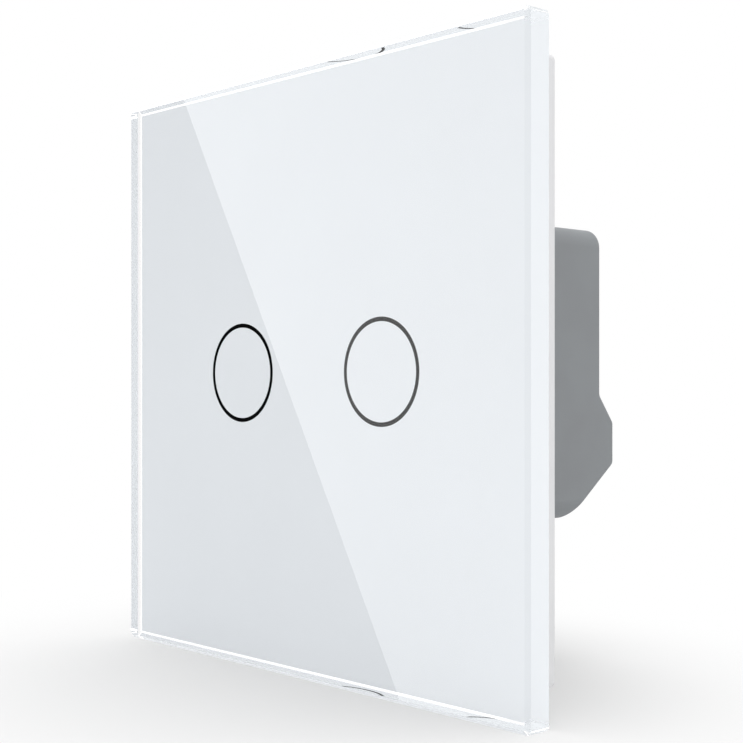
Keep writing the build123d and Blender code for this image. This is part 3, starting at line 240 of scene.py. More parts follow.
def seam(tree, where, axis, at, width):
    # A mask that is 1 on a thin line round the piece, at one place along the axis, and 0 beside it
    along = addNode(tree, "SeparateXYZ", {0: where}).outputs[axis]
    away = addNode(tree, "Math", {0: along, 1: at * mm}, operation="SUBTRACT")
    away = addNode(tree, "Math", {0: away.outputs[0]}, operation="ABSOLUTE")
    facts = {"Value": away.outputs[0], "From Max": width * mm, "To Min": 1.0, "To Max": 0.0}
    return addNode(tree, "MapRange", facts, interpolation_type="SMOOTHSTEP").outputs[0]


def tint(tree, shader, mask, colours, low=0.3, high=0.7):
    ramp = addNode(tree, "ValToRGB", {"Fac": mask})
    ramp.color_ramp.elements[0].position, ramp.color_ramp.elements[1].position = low, high
    ramp.color_ramp.elements[0].color, ramp.color_ramp.elements[1].color = map(linear, colours)
    tree.links.new(ramp.outputs[0], shader.inputs["Base Color"])


def dull(tree, shader, mask, low, high):
    spread = addNode(tree, "MapRange", {"Value": mask, "To Min": low, "To Max": high})
    tree.links.new(spread.outputs[0], shader.inputs["Roughness"])


def emboss(tree, shader, mask, height):
    # Raises the surface by the mask, on top of what already raises it
    facts = {"Height": mask, "Distance": height * mm, "Strength": 1.0}
    if shader.inputs["Normal"].is_linked:
        facts["Normal"] = shader.inputs["Normal"].links[0].from_socket
    bump = addNode(tree, "Bump", facts)
    tree.links.new(bump.outputs[0], shader.inputs["Normal"])


def mouldedPlastic(name, colours, roughness, grain, depth, partingLine=None):
    # Injection moulded: a fine spark-eroded grain, slow flow clouds in the colour, the mould's parting line
    flowCloud, sheenPatch, lineWide, lineHigh = 9.0, 3.0, 0.07, 0.05
    material, tree, shader = startMaterial(name, colours[0], roughness, ior=1.53)
    where = place(tree)
    emboss(tree, shader, speckle(tree, where, grain), depth)
    if partingLine:
        emboss(tree, shader, seam(tree, where, "Y", partingLine, lineWide), lineHigh)
    tint(tree, shader, speckle(tree, where, flowCloud), colours)
    dull(tree, shader, speckle(tree, where, sheenPatch), roughness - 0.05, roughness + 0.05)
    return material


def toughenedGlass():
    # Float glass, ground and polished: clear and smooth. Lamps reach the print behind it.
    material, tree, shader = startMaterial("toughenedFloatGlass", "#FFFFFF", 0.0, ior=1.52,
                                           more={"Transmission Weight": 1.0})
    path = addNode(tree, "LightPath")
    clear = addNode(tree, "BsdfTransparent", {"Color": (1, 1, 1, 1)}).outputs[0]
    surface = shader.outputs[0]
    for ray in ("Is Diffuse Ray", "Is Shadow Ray"):
        surface = addNode(tree, "MixShader", {0: path.outputs[ray], 1: surface, 2: clear}).outputs[0]
    tree.links.new(surface, tree.nodes["Material Output"].inputs["Surface"])
    return material


def printedInk(name, colours, roughness):
    # Ceramic ink, screen printed and fired on: dead smooth behind the glass, a hair thicker in places
    # and, as no air gap lies between, without a shine of its own
    material, tree, shader = startMaterial(name, colours[0], roughness, more={"Specular IOR Level": 0.0})
    where = place(tree)
    tint(tree, shader, speckle(tree, where, 14.0), colours, 0.35, 0.65)
    dull(tree, shader, speckle(tree, where, 0.3), roughness - 0.03, roughness + 0.03)
    return material


def foamTape():
    # Acrylic foam: closed bubbles about 0.12 mm wide, cut open along the tape's edges, with painted shade in
    # their hollows
    material, tree, shader = startMaterial("closedCellAcrylicFoam", "#DADAD6", 0.85)
    where = place(tree)
    bubblesAndShade = addNode(tree, "TexVoronoi", {"Vector": where, "Scale": 1 / (0.12 * mm)}).outputs["Distance"]
    emboss(tree, shader, bubblesAndShade, 0.05)
    # Painted shade: the colour darkens towards the middle of each bubble hollow, where the bump sits lowest
    tint(tree, shader, bubblesAndShade, ("#C4C4BF", "#E3E3DF"), 0.05, 0.6)
    dull(tree, shader, speckle(tree, where, 1.5), 0.78, 0.92)
    return material


def platedSheet(name, colours, roughness, spangle, rolled):
    # Rolled sheet, plated after pressing: fine rolling lines along x, soft crystal patches, a slight tint
    material, tree, shader = startMaterial(name, colours[0], roughness, metallic=1.0)
    where = place(tree)
    patches = addNode(tree, "TexVoronoi", {"Vector": where, "Scale": 1 / (spangle * mm)}, feature="SMOOTH_F1")
    cloud = addNode(tree, "Mix", {0: 0.35, 2: speckle(tree, where, 7.0), 3: patches.outputs["Color"]},
                    data_type="FLOAT").outputs[0]
    lines = speckle(tree, where, 0.08, 3.0, stretch=(0.03, 1, 1))
    emboss(tree, shader, lines, rolled)
    emboss(tree, shader, speckle(tree, where, 0.6), 0.002)
    tint(tree, shader, cloud, colours, 0.25, 0.75)
    dull(tree, shader, addNode(tree, "Mix", {0: 0.5, 2: lines, 3: cloud}, data_type="FLOAT").outputs[0],
         roughness - 0.09, roughness + 0.12)
    return material


def turnedMetal(name, colours, roughness, marks):
    # Turned or drawn, then plated: a fine tool mark across, brighter where hands and tools have rubbed
    material, tree, shader = startMaterial(name, colours[0], roughness, metallic=1.0)
    where = place(tree)
    emboss(tree, shader, speckle(tree, where, marks, 4.0, stretch=(1, 0.25, 1)), 0.003)
    tint(tree, shader, speckle(tree, where, 1.2), colours)
    dull(tree, shader, speckle(tree, where, 0.5, 3.0), roughness - 0.08, roughness + 0.1)
    return material


def insulatingFilm():
    # Cast polyester film: milky, smooth, with faint wavy thickness
    material, tree, shader = startMaterial("castPolyesterFilm", "#EDEAE0", 0.28, ior=1.57,
                                           more={"Transmission Weight": 0.25})
    where = place(tree)
    emboss(tree, shader, speckle(tree, where, 5.0), 0.02)
    tint(tree, shader, speckle(tree, where, 8.0), ("#EFECE3", "#E6E2D6"))
    dull(tree, shader, speckle(tree, where, 2.0), 0.22, 0.34)
    return material


def solderMask(name, colours):
    # Glass cloth in epoxy under a green solder mask: the weave shows as a faint 0.5 mm check
    material, tree, shader = startMaterial(name, colours[0], 0.34, more={"Coat Weight": 0.25})
    where = place(tree)
    threads = 2 * math.pi / (0.5 * 20 * mm)  # a wave node's bands lie 2 pi / (20 scale) apart
    along, across = [addNode(tree, "TexWave", {"Vector": where, "Scale": threads}, bands_direction=way)
                     for way in ("X", "Z")]
    weave = addNode(tree, "Math", {0: along.outputs["Fac"], 1: across.outputs["Fac"]},
                    operation="MULTIPLY").outputs[0]
    emboss(tree, shader, weave, 0.004)
    shade = addNode(tree, "Mix", {0: 0.6, 2: weave, 3: speckle(tree, where, 4.0)},
                    data_type="FLOAT").outputs[0]
    tint(tree, shader, shade, colours, 0.1, 0.8)
    dull(tree, shader, speckle(tree, where, 1.0), 0.28, 0.42)
    return material


def epoxyResin(name, colours, roughness, peel, height):
    # Moulded or dipped resin: a fine mineral grain or the soft orange peel of a dipped coat
    material, tree, shader = startMaterial(name, colours[0], roughness, ior=1.55)
    where = place(tree)
    emboss(tree, shader, speckle(tree, where, peel), height)
    tint(tree, shader, speckle(tree, where, 0.15, 3.0), colours, 0.35, 0.75)
    dull(tree, shader, speckle(tree, where, 1.5), roughness - 0.06, roughness + 0.08)
    return material


def milkyDiffuser():
    # Polycarbonate with a light-scattering filler: light enters it and comes out softened
    material, tree, shader = startMaterial("milkyPolycarbonate", "#F1F4F6", 0.38, ior=1.58, more={
        "Subsurface Weight": 0.5, "Subsurface Radius": (1.0, 1.0, 1.0), "Subsurface Scale": 0.8 * mm})
    where = place(tree)
    emboss(tree, shader, speckle(tree, where, 0.25), 0.003)
    tint(tree, shader, speckle(tree, where, 3.0), ("#F2F5F7", "#E9EEF1"))
    dull(tree, shader, speckle(tree, where, 2.0), 0.33, 0.45)
    return material


def ledLens():
    # Cast silicone over the phosphor: glossy, slightly cloudy, pale yellow
    material, tree, shader = startMaterial("castSiliconeLens", "#F4EBC4", 0.16, ior=1.41,
                                           more={"Transmission Weight": 0.35})
    where = place(tree)
    tint(tree, shader, speckle(tree, where, 0.25), ("#F1E4A8", "#F7F2DA"))
    dull(tree, shader, speckle(tree, where, 0.4), 0.12, 0.22)
    return material


def enamelledCopper():
    # Drawn copper under a clear enamel that deepens the colour
    material, tree, shader = startMaterial("enamelledCopperWire", "#C0663A", 0.3, metallic=1.0,
                                           more={"Coat Weight": 0.6, "Coat Roughness": 0.12})
    where = place(tree)
    tint(tree, shader, speckle(tree, where, 0.8, 3.0), ("#A9522A", "#CF7A49"))
    dull(tree, shader, speckle(tree, where, 0.3), 0.24, 0.4)
    return material


def shrunkSleeve():
    # Sleeve shrunk round the can: satin, with small wrinkles that run along it and a pale polarity stripe
    material, tree, shader = startMaterial("shrunkPetSleeve", "#23292F", 0.3)
    where = place(tree)
    emboss(tree, shader, speckle(tree, where, 0.3, 2.0, stretch=(1, 0.1, 1)), 0.008)
    stripeFrom = -17.3
    xOnly = addNode(tree, "SeparateXYZ", {0: where}).outputs["X"]
    stripe = addNode(tree, "Math", {0: xOnly, 1: stripeFrom * mm}, operation="LESS_THAN").outputs[0]
    tint(tree, shader, stripe, ("#23292F", "#B9BEC2"), 0.4, 0.6)
    dull(tree, shader, speckle(tree, where, 1.0), 0.24, 0.38)
    return material


def sinteredFerrite():
    # Pressed powder, sintered: matt, dark and gritty
    material, tree, shader = startMaterial("sinteredFerrite", "#3B3C3E", 0.72)
    where = place(tree)
    emboss(tree, shader, speckle(tree, where, 0.12, 4.0), 0.012)
    grit = addNode(tree, "TexVoronoi", {"Vector": where, "Scale": 1 / (0.2 * mm)}).outputs["Distance"]
    tint(tree, shader, grit, ("#333436", "#47484A"), 0.1, 0.7)
    dull(tree, shader, speckle(tree, where, 0.8), 0.64, 0.8)
    return material


finishes = {
    "clear_glass": toughenedGlass(),
    "white_print": printedInk("screenPrintedEnamel", ("#E9EDF1", "#E8ECF0"), 0.6),
    "smoked_ink": printedInk("smokedEnamel", ("#0B0C0D", "#0D0E0F"), 0.6),
    "adhesive_foam": foamTape(),
    "white_abs": mouldedPlastic("mouldedWhiteAbs", ("#ECECED", "#E8E8EA"), 0.42, 0.35, 0.006),
    "zinc_steel": platedSheet("zincPlatedSteel", ("#B9BDC0", "#CDCFCD"), 0.34, 1.6, 0.004),
    "plated_screw": turnedMetal("nickelPlatedSteel", ("#BDBBB4", "#D6D4CD"), 0.26, 0.1),
    "insulation_film": insulatingFilm(),
    "circuit_board": solderMask("solderMaskedGlassEpoxy", ("#185A38", "#257849")),
    "chip_resin": epoxyResin("mouldedEpoxyResin", ("#191A1B", "#232425"), 0.52, 0.12, 0.004),
    "spring_wire": turnedMetal("drawnSpringSteel", ("#C1C3C5", "#D3D4D5"), 0.22, 0.06),
    "diffuser": milkyDiffuser(),
    "led_lens": ledLens(),
    "connector_plastic": mouldedPlastic("mouldedNylon", ("#E9E4D4", "#E3DDCA"), 0.5, 0.25, 0.006),
    "tinned_brass": turnedMetal("tinnedBrass", ("#CBC9C1", "#DDDBD4"), 0.3, 0.12),
    "relay_plastic": mouldedPlastic("mouldedBlackPbt", ("#2B3136", "#31373C"), 0.44, 0.3, 0.007,
                                    partingLine=17.6),
    "relay_iron": platedSheet("annealedNickelledIron", ("#87867F", "#9E9D97"), 0.42, 0.8, 0.006),
    "bobbin_plastic": mouldedPlastic("mouldedBobbinNylon", ("#E9E4D3", "#E2DCC8"), 0.5, 0.25, 0.006),
    "copper_wire": enamelledCopper(),
    "film_case": mouldedPlastic("mouldedRedFilmCase", ("#C4332C", "#B82C26"), 0.38, 0.3, 0.006),
    "capacitor_sleeve": shrunkSleeve(),
    "ferrite": sinteredFerrite(),
    "varistor_coat": epoxyResin("dippedBlueEpoxy", ("#2A5AA1", "#3266B0"), 0.32, 0.9, 0.03),
    "fuse_case": mouldedPlastic("mouldedBrownPbt", ("#4C3125", "#432A20"), 0.4, 0.3, 0.006),
    "cage_steel": platedSheet("zincPlatedCageSteel", ("#BCB8A8", "#CFCCC0"), 0.36, 0.9, 0.008),
    "grey_polycarbonate": mouldedPlastic("mouldedGreyPolycarbonate", ("#8A8E91", "#86898C"), 0.6, 0.4, 0.01,
                                         partingLine=14.2),
}
solder = turnedMetal("reflowedTinSolder", ("#C4C6C8", "#D2D4D5"), 0.2, 0.4)
maskedCopper = solderMask("solderMaskedCopper", ("#2F7A4A", "#3C8C58"))  # copper shines through
drawnCan = platedSheet("deepDrawnAluminium", ("#C9CBCD", "#D8DADB"), 0.3, 2.0, 0.002)
legendInk = printedInk("whiteLegendInk", ("#E6E6E2", "#DCDCD8"), 0.7)
for node in nodes.values():
    for held in node.material_slots:
        name = held.material.name.split(".")[0]
        held.material = finishes[name]
        finishes[name]["slot"] = name
print("materials: every carried-over node has its finish")


# Pieces. Each replaces its node, rides on the same body and stands in the same place.
smoothToDeg = 32  # edges sharper than this stay sharp


def cleanMesh(nodeName):
    # The node's mesh with its doubled corners joined and its flat faces whole again
    shape = bmesh.new()
    shape.from_mesh(nodes[nodeName].data)
    bmesh.ops.remove_doubles(shape, verts=shape.verts, dist=0.001 * mm)
    bmesh.ops.dissolve_limit(shape, angle_limit=math.radians(0.6), verts=shape.verts, edges=shape.edges)
    return shape


def roundEdges(shape, width, angleDeg=30, steps=2):
    sharp = [e for e in shape.edges if e.is_manifold and e.calc_face_angle(0) > math.radians(angleDeg)]
    bmesh.ops.bevel(shape, geom=sharp, offset=width * mm, offset_type="OFFSET", segments=steps, profile=0.5,
                    affect="EDGES", clamp_overlap=True)


def makePiece(name, shape, node, slot=None, finish=None, body="base", flatFaces=True):
    mesh = bpy.data.meshes.new(name)
    shape.to_mesh(mesh)
    shape.free()
    mesh.shade_smooth()
    mesh.set_sharp_from_angle(angle=math.radians(smoothToDeg))
    mesh.materials.append(finish or finishes[slot])
    piece = bpy.data.objects.new(name, mesh)
    scene.collection.objects.link(piece)
    if flatFaces:
        piece.modifiers.new("flatFaces", "WEIGHTED_NORMAL").keep_sharp = True
    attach(piece, body)
    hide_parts(node)
    return piece


def softenedPiece(nodeName, pieceName, width, body="base", steps=2):
    # The node's own shape with its edges broken, as a mould, a press or a grinding wheel leaves them
    shape = cleanMesh(nodeName)
    roundEdges(shape, width, steps=steps)
    slot = nodes[nodeName].data.materials[0].get("slot")
    return makePiece(pieceName, shape, nodeName, slot, body=body)


def loftLoops(shape, loops, closedEnds=True):
    rings = [[shape.verts.new(p) for p in loop] for loop in loops]
    for near, far in zip(rings, rings[1:]):
        for i in range(len(near)):
            j = (i + 1) % len(near)
            shape.faces.new((near[i], near[j], far[j], far[i]))
    if closedEnds:
        shape.faces.new(list(reversed(rings[0])))
        shape.faces.new(rings[-1])
    bmesh.ops.recalc_face_normals(shape, faces=shape.faces)


def standing(origin, axis=(0, 1, 0), across=(1, 0, 0)):
    # Where a turned form stands: its own z runs along axis, in millimetres
    up, side = Vector(axis).normalized(), Vector(across)
    turn = Matrix((side, up.cross(side), up)).transposed().to_4x4()
    return Matrix.Scale(mm, 4) @ Matrix.Translation(origin) @ turn


def turned(shape, where, profile, sides=64, closedEnds=True):
    # Rings about the local z: each a height and a radius, or a height and a radius that follows the angle
    loops = []
    for height, radius in profile:
        angles = [2 * math.pi * i / sides for i in range(sides)]
        radii = [radius(a) if callable(radius) else radius for a in angles]
        loops.append([where @ Vector((r * math.cos(a), r * math.sin(a), height))
                      for a, r in zip(angles, radii)])
    loftLoops(shape, loops, closedEnds)


def woundSkin(shape, where, low, high, pitch, outline, sides=48):
    # A surface that winds round the local z. The outline gives its radii across one turn.
    count, least, made = len(outline), min(outline), []
    rows = []
    for j in range(int((high - low) / pitch + 1.5) * count + 1):
        row = []
        for i in range(sides + 1):
            height = low + (j / count + i / sides - 1) * pitch
            radius = outline[j % count] if low < height < high else least
            angle = 2 * math.pi * i / sides
            point = Vector((radius * math.cos(angle), radius * math.sin(angle), min(max(height, low), high)))
            row.append(shape.verts.new(where @ point))
        rows.append(row)
        made += row
    for near, far in zip(rows, rows[1:]):
        for i in range(sides):
            shape.faces.new((near[i], near[i + 1], far[i + 1], far[i]))
    bmesh.ops.remove_doubles(shape, verts=made, dist=0.0005 * mm)
    bmesh.ops.recalc_face_normals(shape, faces=shape.faces)


def bentPath(points, radius, steps=6):
    # The points in millimetres with every bend rounded
    points = [Vector(p) for p in points]
    path = [points[0]]
    for before, bend, after in zip(points, points[1:], points[2:]):
        back, on = before - bend, after - bend
        start = bend + back.normalized() * min(radius, back.length / 2)
        end = bend + on.normalized() * min(radius, on.length / 2)
        for i in range(steps + 1):
            t = i / steps
            path.append(start * (1 - t) ** 2 + bend * 2 * t * (1 - t) + end * t * t)
    return path + [points[-1]]


def drawnWire(shape, path, radius, sides=12, tipRound=0.0):
    # A round wire along the path, its ends closed and, where asked, rounded
    loops, side = [], None
    for i, point in enumerate(path):
        way = (path[min(i + 1, len(path) - 1)] - path[max(i - 1, 0)]).normalized()
        side = way.orthogonal().normalized() if side is None else (side - way * side.dot(way)).normalized()
        other = way.cross(side)
        angles = [2 * math.pi * k / sides for k in range(sides)]
        rings = [(point, radius)]
        if tipRound and i == 0:
            rings = [(point, radius - tipRound), (point + way * tipRound, radius)]
        if tipRound and i == len(path) - 1:
            rings = [(point - way * tipRound, radius), (point, radius - tipRound)]
        for middle, r in rings:
            loops.append([(middle + (side * math.cos(a) + other * math.sin(a)) * r) * mm for a in angles])
    loftLoops(shape, loops)


def bentStrip(shape, path, across, width, thick):
    # A flat strip along the path; across is the way its width runs
    across, loops = Vector(across).normalized(), []
    for i, point in enumerate(path):
        way = (path[min(i + 1, len(path) - 1)] - path[max(i - 1, 0)]).normalized()
        out = way.cross(across)
        corners = ((1, 1), (-1, 1), (-1, -1), (1, -1))
        loops.append([(point + across * (a * width / 2) + out * (b * thick / 2)) * mm for a, b in corners])
    loftLoops(shape, loops)


def block(shape, low, high, width=0.1, steps=2, taper=0.0, end=1):
    # A box with broken edges. Taper narrows it towards one end in y, as a mould's draft does.
    made = bmesh.ops.create_cube(shape, size=1.0)["verts"]
    low, high = Vector(low), Vector(high)
    for v in made:
        narrow = taper if v.co.y * end > 0 else 0
        v.co = Vector([(low[i] + high[i]) / 2 + v.co[i] * (high[i] - low[i] - (2 * narrow if i != 1 else 0))
                       for i in range(3)]) * mm
    edges = list({e for v in made for e in v.link_edges})
    bmesh.ops.bevel(shape, geom=edges, offset=width * mm, offset_type="OFFSET", segments=steps, profile=0.5,
                    affect="EDGES", clamp_overlap=True)


def crossRecess(width, span):
    # Radius of a cross-shaped recess at each angle
    a, b = width / 2, span / 2

    def radius(angle):
        c, s = max(abs(math.cos(angle)), 1e-6), max(abs(math.sin(angle)), 1e-6)
        return max(min(b / c, a / s), min(a / c, b / s))
    return radius


def narrower(outline, share):
    return lambda angle: outline(angle) * share


# The print and the ring ink are fired onto the glass, so their front faces lie a hair inside it.
# The ring's ink is laid over the edges of its gap in the white.
fired = {"depth": 0.01, "inkOver": 0.004, "overlap": 0.05, "ringCentres": (-14.1, 14.1), "ringMiddle": 6.56}


def firedOnGlass(shape, extra=0.0):
    front = min(v.co.y for v in shape.verts)
    for v in shape.verts:
        if v.co.y < front + 0.05 * mm:
            v.co.y = front - (fired["depth"] + extra) * mm


def prints():
    white = cleanMesh("back_print")
    firedOnGlass(white)
    makePiece("printedEnamel", white, "back_print", "white_print", body="front_panel", flatFaces=False)
    ink = cleanMesh("ring_windows")
    firedOnGlass(ink, fired["inkOver"])
    for v in ink.verts:
        centre = Vector((math.copysign(fired["ringCentres"][1], v.co.x) * mm, v.co.y, 0))
        out = v.co - centre
        side = 1 if out.length > fired["ringMiddle"] * mm else -1
        v.co = centre + out.normalized() * (out.length + side * fired["overlap"] * mm)
    makePiece("smokedRings", ink, "ring_windows", "smoked_ink", body="front_panel", flatFaces=False)


prints()


def squareLoop(half, corner, depth, steps=8):
    # A square with rounded corners, standing at one depth
    points = []
    for turn in range(4):
        for step in range(steps + 1):
            angle = math.radians(90 * step / steps)
            x, z = half - corner + math.cos(angle) * corner, half - corner + math.sin(angle) * corner
            for _ in range(turn):
                x, z = -z, x
            points.append(Vector((x, depth, z)) * mm)
    return points


# The glass: both rims ground to a chamfer and polished
glass = {"half": 40.0, "corner": 0.6, "front": -8.8, "back": -4.8, "chamfer": 0.5}


def glassPanel():
    shape = bmesh.new()
    inset, half, corner = glass["chamfer"], glass["half"], glass["corner"]
    loftLoops(shape, [
        squareLoop(half - inset, corner - inset / 2, glass["front"]),
        squareLoop(half, corner, glass["front"] + inset),
        squareLoop(half, corner, glass["back"] - inset),
        squareLoop(half - inset, corner - inset / 2, glass["back"]),
    ])
    makePiece("polishedGlass", shape, "glass_panel", "clear_glass", body="front_panel")


glassPanel()
softenedPiece("panel_tape", "foamTape", 0.13, "front_panel", steps=4)
softenedPiece("panel_frame", "clipFrame", 0.1, "front_panel")
print("front panel: glass, print, rings, tape and frame")


# Touch springs: a foot soldered to the board, turns that narrow towards the glass, and a straight tip
spring = {"centres": (-14.1, 14.1), "wire": 0.4, "turns": 2.5, "wide": 4.9, "narrow": 2.4, "low": -3.0,
          "high": -3.75, "foot": -2.2, "tip": -4.55, "reach": 0.4, "bend": 0.35, "stepsPerTurn": 36,
          "solder": [(0.0, 0.75), (0.06, 0.68), (0.2, 0.4), (0.42, 0.24), (0.5, 0.2)]}


def springPath(centre):
    steps = int(spring["turns"] * spring["stepsPerTurn"])
    coil = []
    for i in range(steps + 1):
        share, angle = i / steps, 2 * math.pi * spring["turns"] * i / steps
        radius = spring["wide"] + (spring["narrow"] - spring["wide"]) * share
        depth = spring["low"] + (spring["high"] - spring["low"]) * share
        coil.append(Vector((centre + radius * math.cos(angle), depth, radius * math.sin(angle))))
    bottom = coil[0] + (coil[0] - coil[1]).normalized() * spring["reach"]
    top = coil[-1] + (coil[-1] - coil[-2]).normalized() * spring["reach"]
    foot = bentPath([(bottom.x, spring["foot"], bottom.z), bottom, coil[0]], spring["bend"])
    tip = bentPath([coil[-1], top, (top.x, spring["tip"], top.z)], spring["bend"])
    return foot + coil[1:-1] + tip


def touchSprings():
    shape, joint = bmesh.new(), bmesh.new()
    for centre in spring["centres"]:
        path = springPath(centre)
        drawnWire(shape, path, spring["wire"] / 2, tipRound=0.05)
        turned(joint, standing(path[0], axis=(0, -1, 0)), spring["solder"], sides=32)
    makePiece("touchSpringCoils", shape, "touch_springs", "spring_wire", flatFaces=False)
    makePiece("springSolder", joint, "touch_springs", finish=solder, flatFaces=False)


touchSprings()
softenedPiece("light_rings", "lightRings", 0.08, steps=3)

# Lamps: a resin base with plated ends and a cast lens
led = {"places": [(x, z) for x in (-14.1, 14.1) for z in (-6.35, 6.35)], "back": -2.2, "length": 1.6,
       "width": 0.8, "height": 0.6, "base": 0.25, "end": 0.3}


def indicatorLeds():
    bases, ends, lenses = bmesh.new(), bmesh.new(), bmesh.new()
    back, a, b = led["back"], led["length"] / 2, led["width"] / 2
    for x, z in led["places"]:
        block(bases, (x - a + 0.05, back - led["base"], z - b), (x + a - 0.05, back, z + b), 0.03)
        for side in (-1, 1):
            low, high = sorted((x + side * a, x + side * (a - led["end"])))
            block(ends, (low, back - led["base"] - 0.02, z - b + 0.02), (high, back, z + b - 0.02), 0.02)
        block(lenses, (x - a + led["end"], back - led["height"], z - b + 0.03),
              (x + a - led["end"], back - led["base"], z + b - 0.03), 0.1, steps=4, taper=0.04, end=-1)
    makePiece("ledBases", bases, "indicator_leds", finish=finishes["connector_plastic"])
    makePiece("ledEnds", ends, "indicator_leds", finish=solder)
    makePiece("ledLenses", lenses, "indicator_leds", "led_lens")


indicatorLeds()

# Touch board, with the tracks that stand a little proud under the mask, and a printed ring round each spring
touchBoard = {"front": -2.2, "trackProud": 0.03, "trackWide": 0.25, "legendRadius": 5.2, "legendWide": 0.15,
              "springTracks": [[(-9.2, -0.6), (-9.2, -5.0), (-5.08, -9.12), (-5.08, -9.6)],
                               [(19.0, -0.6), (19.0, -1.7), (16.5, -4.2), (9.0, -4.2), (9.0, -8.0),
                                (5.9, -8.0), (5.08, -8.82), (5.08, -9.6)]]}


def tracksOn(shape, lines, width, depth, proud, out):
    # Copper under the mask: flat strips along the lines, on a face that looks along out in y
    for line in lines:
        path = [Vector((x, depth + out * proud / 2, z)) for x, z in line]
        bentStrip(shape, bentPath(path, max(0.3, 0.6 * width), 4), (0, 1, 0), proud, width)


def touchBoardPieces():
    softenedPiece("touch_board", "touchBoard", 0.03)
    front, proud = touchBoard["front"], touchBoard["trackProud"]
    lines = list(touchBoard["springTracks"])
    for x, z in led["places"]:
        up = math.copysign(1, z)
        lines.append([(x - 1.1, z), (x - 3.2, z + up * 2.1), (x - 3.2, z + up * 4.5)])
        lines.append([(x + 1.1, z), (x + 3.0, z + up * 1.9), (x + 3.0, z + up * 5.5),
                      (x - 6.0, z + up * 5.5)])
    copper = bmesh.new()
    tracksOn(copper, lines, touchBoard["trackWide"], front, proud, -1)
    for x, z in led["places"]:
        for side in (-1, 1):
            block(copper, (x + side * 0.95 - 0.25, front - proud, z - 0.45),
                  (x + side * 0.95 + 0.25, front, z + 0.45), 0.01)
    makePiece("touchBoardTracks", copper, "touch_board", "circuit_board", finish=maskedCopper,
              flatFaces=False)
    legend = bmesh.new()
    for x in spring["centres"]:
        inner, outer = touchBoard["legendRadius"] - touchBoard["legendWide"], touchBoard["legendRadius"]
        turned(legend, standing((x, front, 0), axis=(0, -1, 0)),
               [(0, inner), (0.02, inner), (0.02, outer), (0, outer)], sides=96, closedEnds=False)
        for turn in range(4):
            angle = math.radians(45 + 90 * turn)
            way = Vector((math.cos(angle), 0, math.sin(angle)))
            middle = Vector((x, front - 0.01, 0))
            bentStrip(legend, [middle + way * 0.8, middle + way * 2.0], (0, 1, 0), 0.02, 0.12)
    makePiece("boardLegend", legend, "touch_board", finish=legendInk, flatFaces=False)


touchBoardPieces()

# Chips: a drafted resin body and gull-wing legs. out is the way the chip stands from its board in y.
smallOutline = dict(width=3.9, height=1.45, pitch=1.27, legWide=0.4, reach=1.05, thick=0.2, lift=0.12)
chips = {
    "touch_chip": dict(smallOutline, piece="touchChip", middle=(0, 4.5), stand=-1.4, out=1,
                       length=10.0, legs=8),
    "control_chip": dict(smallOutline, piece="controlChip", middle=(7.0, -13.53), stand=5.0, out=-1,
                         length=5.08, legs=4),
    "bridge_rectifier": dict(piece="bridgeRectifier", middle=(8.9, -12.83), stand=6.4, out=1, length=4.7,
                             width=3.8, height=2.5, legs=2, pitch=2.5, legWide=0.7, reach=1.2, thick=0.25,
                             lift=0.15),
}


def packagedChip(nodeName, facts):
    (x, z), stand, out = facts["middle"], facts["stand"], facts["out"]
    body, legs = bmesh.new(), bmesh.new()
    a, b, draft, bevel = facts["length"] / 2, facts["width"] / 2, 0.08, 0.3
    parting = facts["lift"] + (facts["height"] - facts["lift"]) / 2
    loops = []
    for height, inset, first in ((facts["lift"], draft, 0), (parting, 0, 0),
                                 (facts["height"] - bevel, draft, 0), (facts["height"], draft, bevel)):
        y = stand + out * height
        corners = ((-a + inset, -b + inset + first), (a - inset, -b + inset + first), (a - inset, b - inset),
                   (-a + inset, b - inset))
        loops.append([Vector((x + u, y, z + v)) * mm for u, v in corners])
    loftLoops(body, loops)
    roundEdges(body, 0.06, angleDeg=12)
    turned(body, standing((x - a + 0.75, stand + out * facts["height"], z - b + 1.0), axis=(0, -out, 0)),
           [(0.0, 0.36), (-0.006, 0.33), (-0.006, 0.26), (0.0, 0.24)], sides=32, closedEnds=False)
    half = facts["thick"] / 2
    for side in (-1, 1):
        for i in range(facts["legs"]):
            at = x + (i - (facts["legs"] - 1) / 2) * facts["pitch"]
            heights = ((b - 0.1, parting), (b + 0.25, parting), (b + 0.45, half), (b + facts["reach"], half))
            path = bentPath([(at, stand + out * h, z + side * w) for w, h in heights], 0.12, 4)
            bentStrip(legs, path, (1, 0, 0), facts["legWide"], facts["thick"])
    makePiece(facts["piece"] + "Body", body, nodeName, "chip_resin")
    makePiece(facts["piece"] + "Legs", legs, nodeName, finish=finishes["tinned_brass"], flatFaces=False)


for chipName, chipFacts in chips.items():
    packagedChip(chipName, chipFacts)
print("touch side: springs, light rings, lamps, board and chips")

# Screws: turned heads with a pressed cross, and real threads
bracketScrew = {"places": [(x, z) for x in (-17.35, 17.35) for z in (-15.63, 15.63)], "top": -1.2,
                "head": 2.0, "rim": 0.12, "length": 8.0, "cross": (0.5, 2.2), "crossDepth": 0.7,
                "pitch": 1.05, "thread": (0.92, 0.93, 0.98, 1.22, 1.3, 1.22, 0.98, 0.93)}
clampScrew = {"poles": (-11.0, 0.0, 11.0), "clamp": (22.85, -9.6034), "tiltDeg": 37.5, "tip": 2.35,
              "head": 5.7, "top": 7.2, "rim": 0.12, "headRadius": 2.2, "cross": (0.8, 3.0),
              "crossDepth": 0.9, "pitch": 0.5, "thread": (1.2, 1.34, 1.5, 1.34)}


def crossHead(shape, where, rim, top, radius, cross, depth, under):
    # The head from its underside to the recess floor. Profile heights run towards the top.
    recess = crossRecess(*cross)
    rounded = [(rim, radius), (top - 0.1, radius), (top - 0.03, radius - 0.04), (top, radius - 0.12)]
    profile = under + rounded + [(top, narrower(recess, 1.04)), (top - 0.05, recess),
                                 (top - depth, narrower(recess, 0.62))]
    turned(shape, where, profile, sides=96)


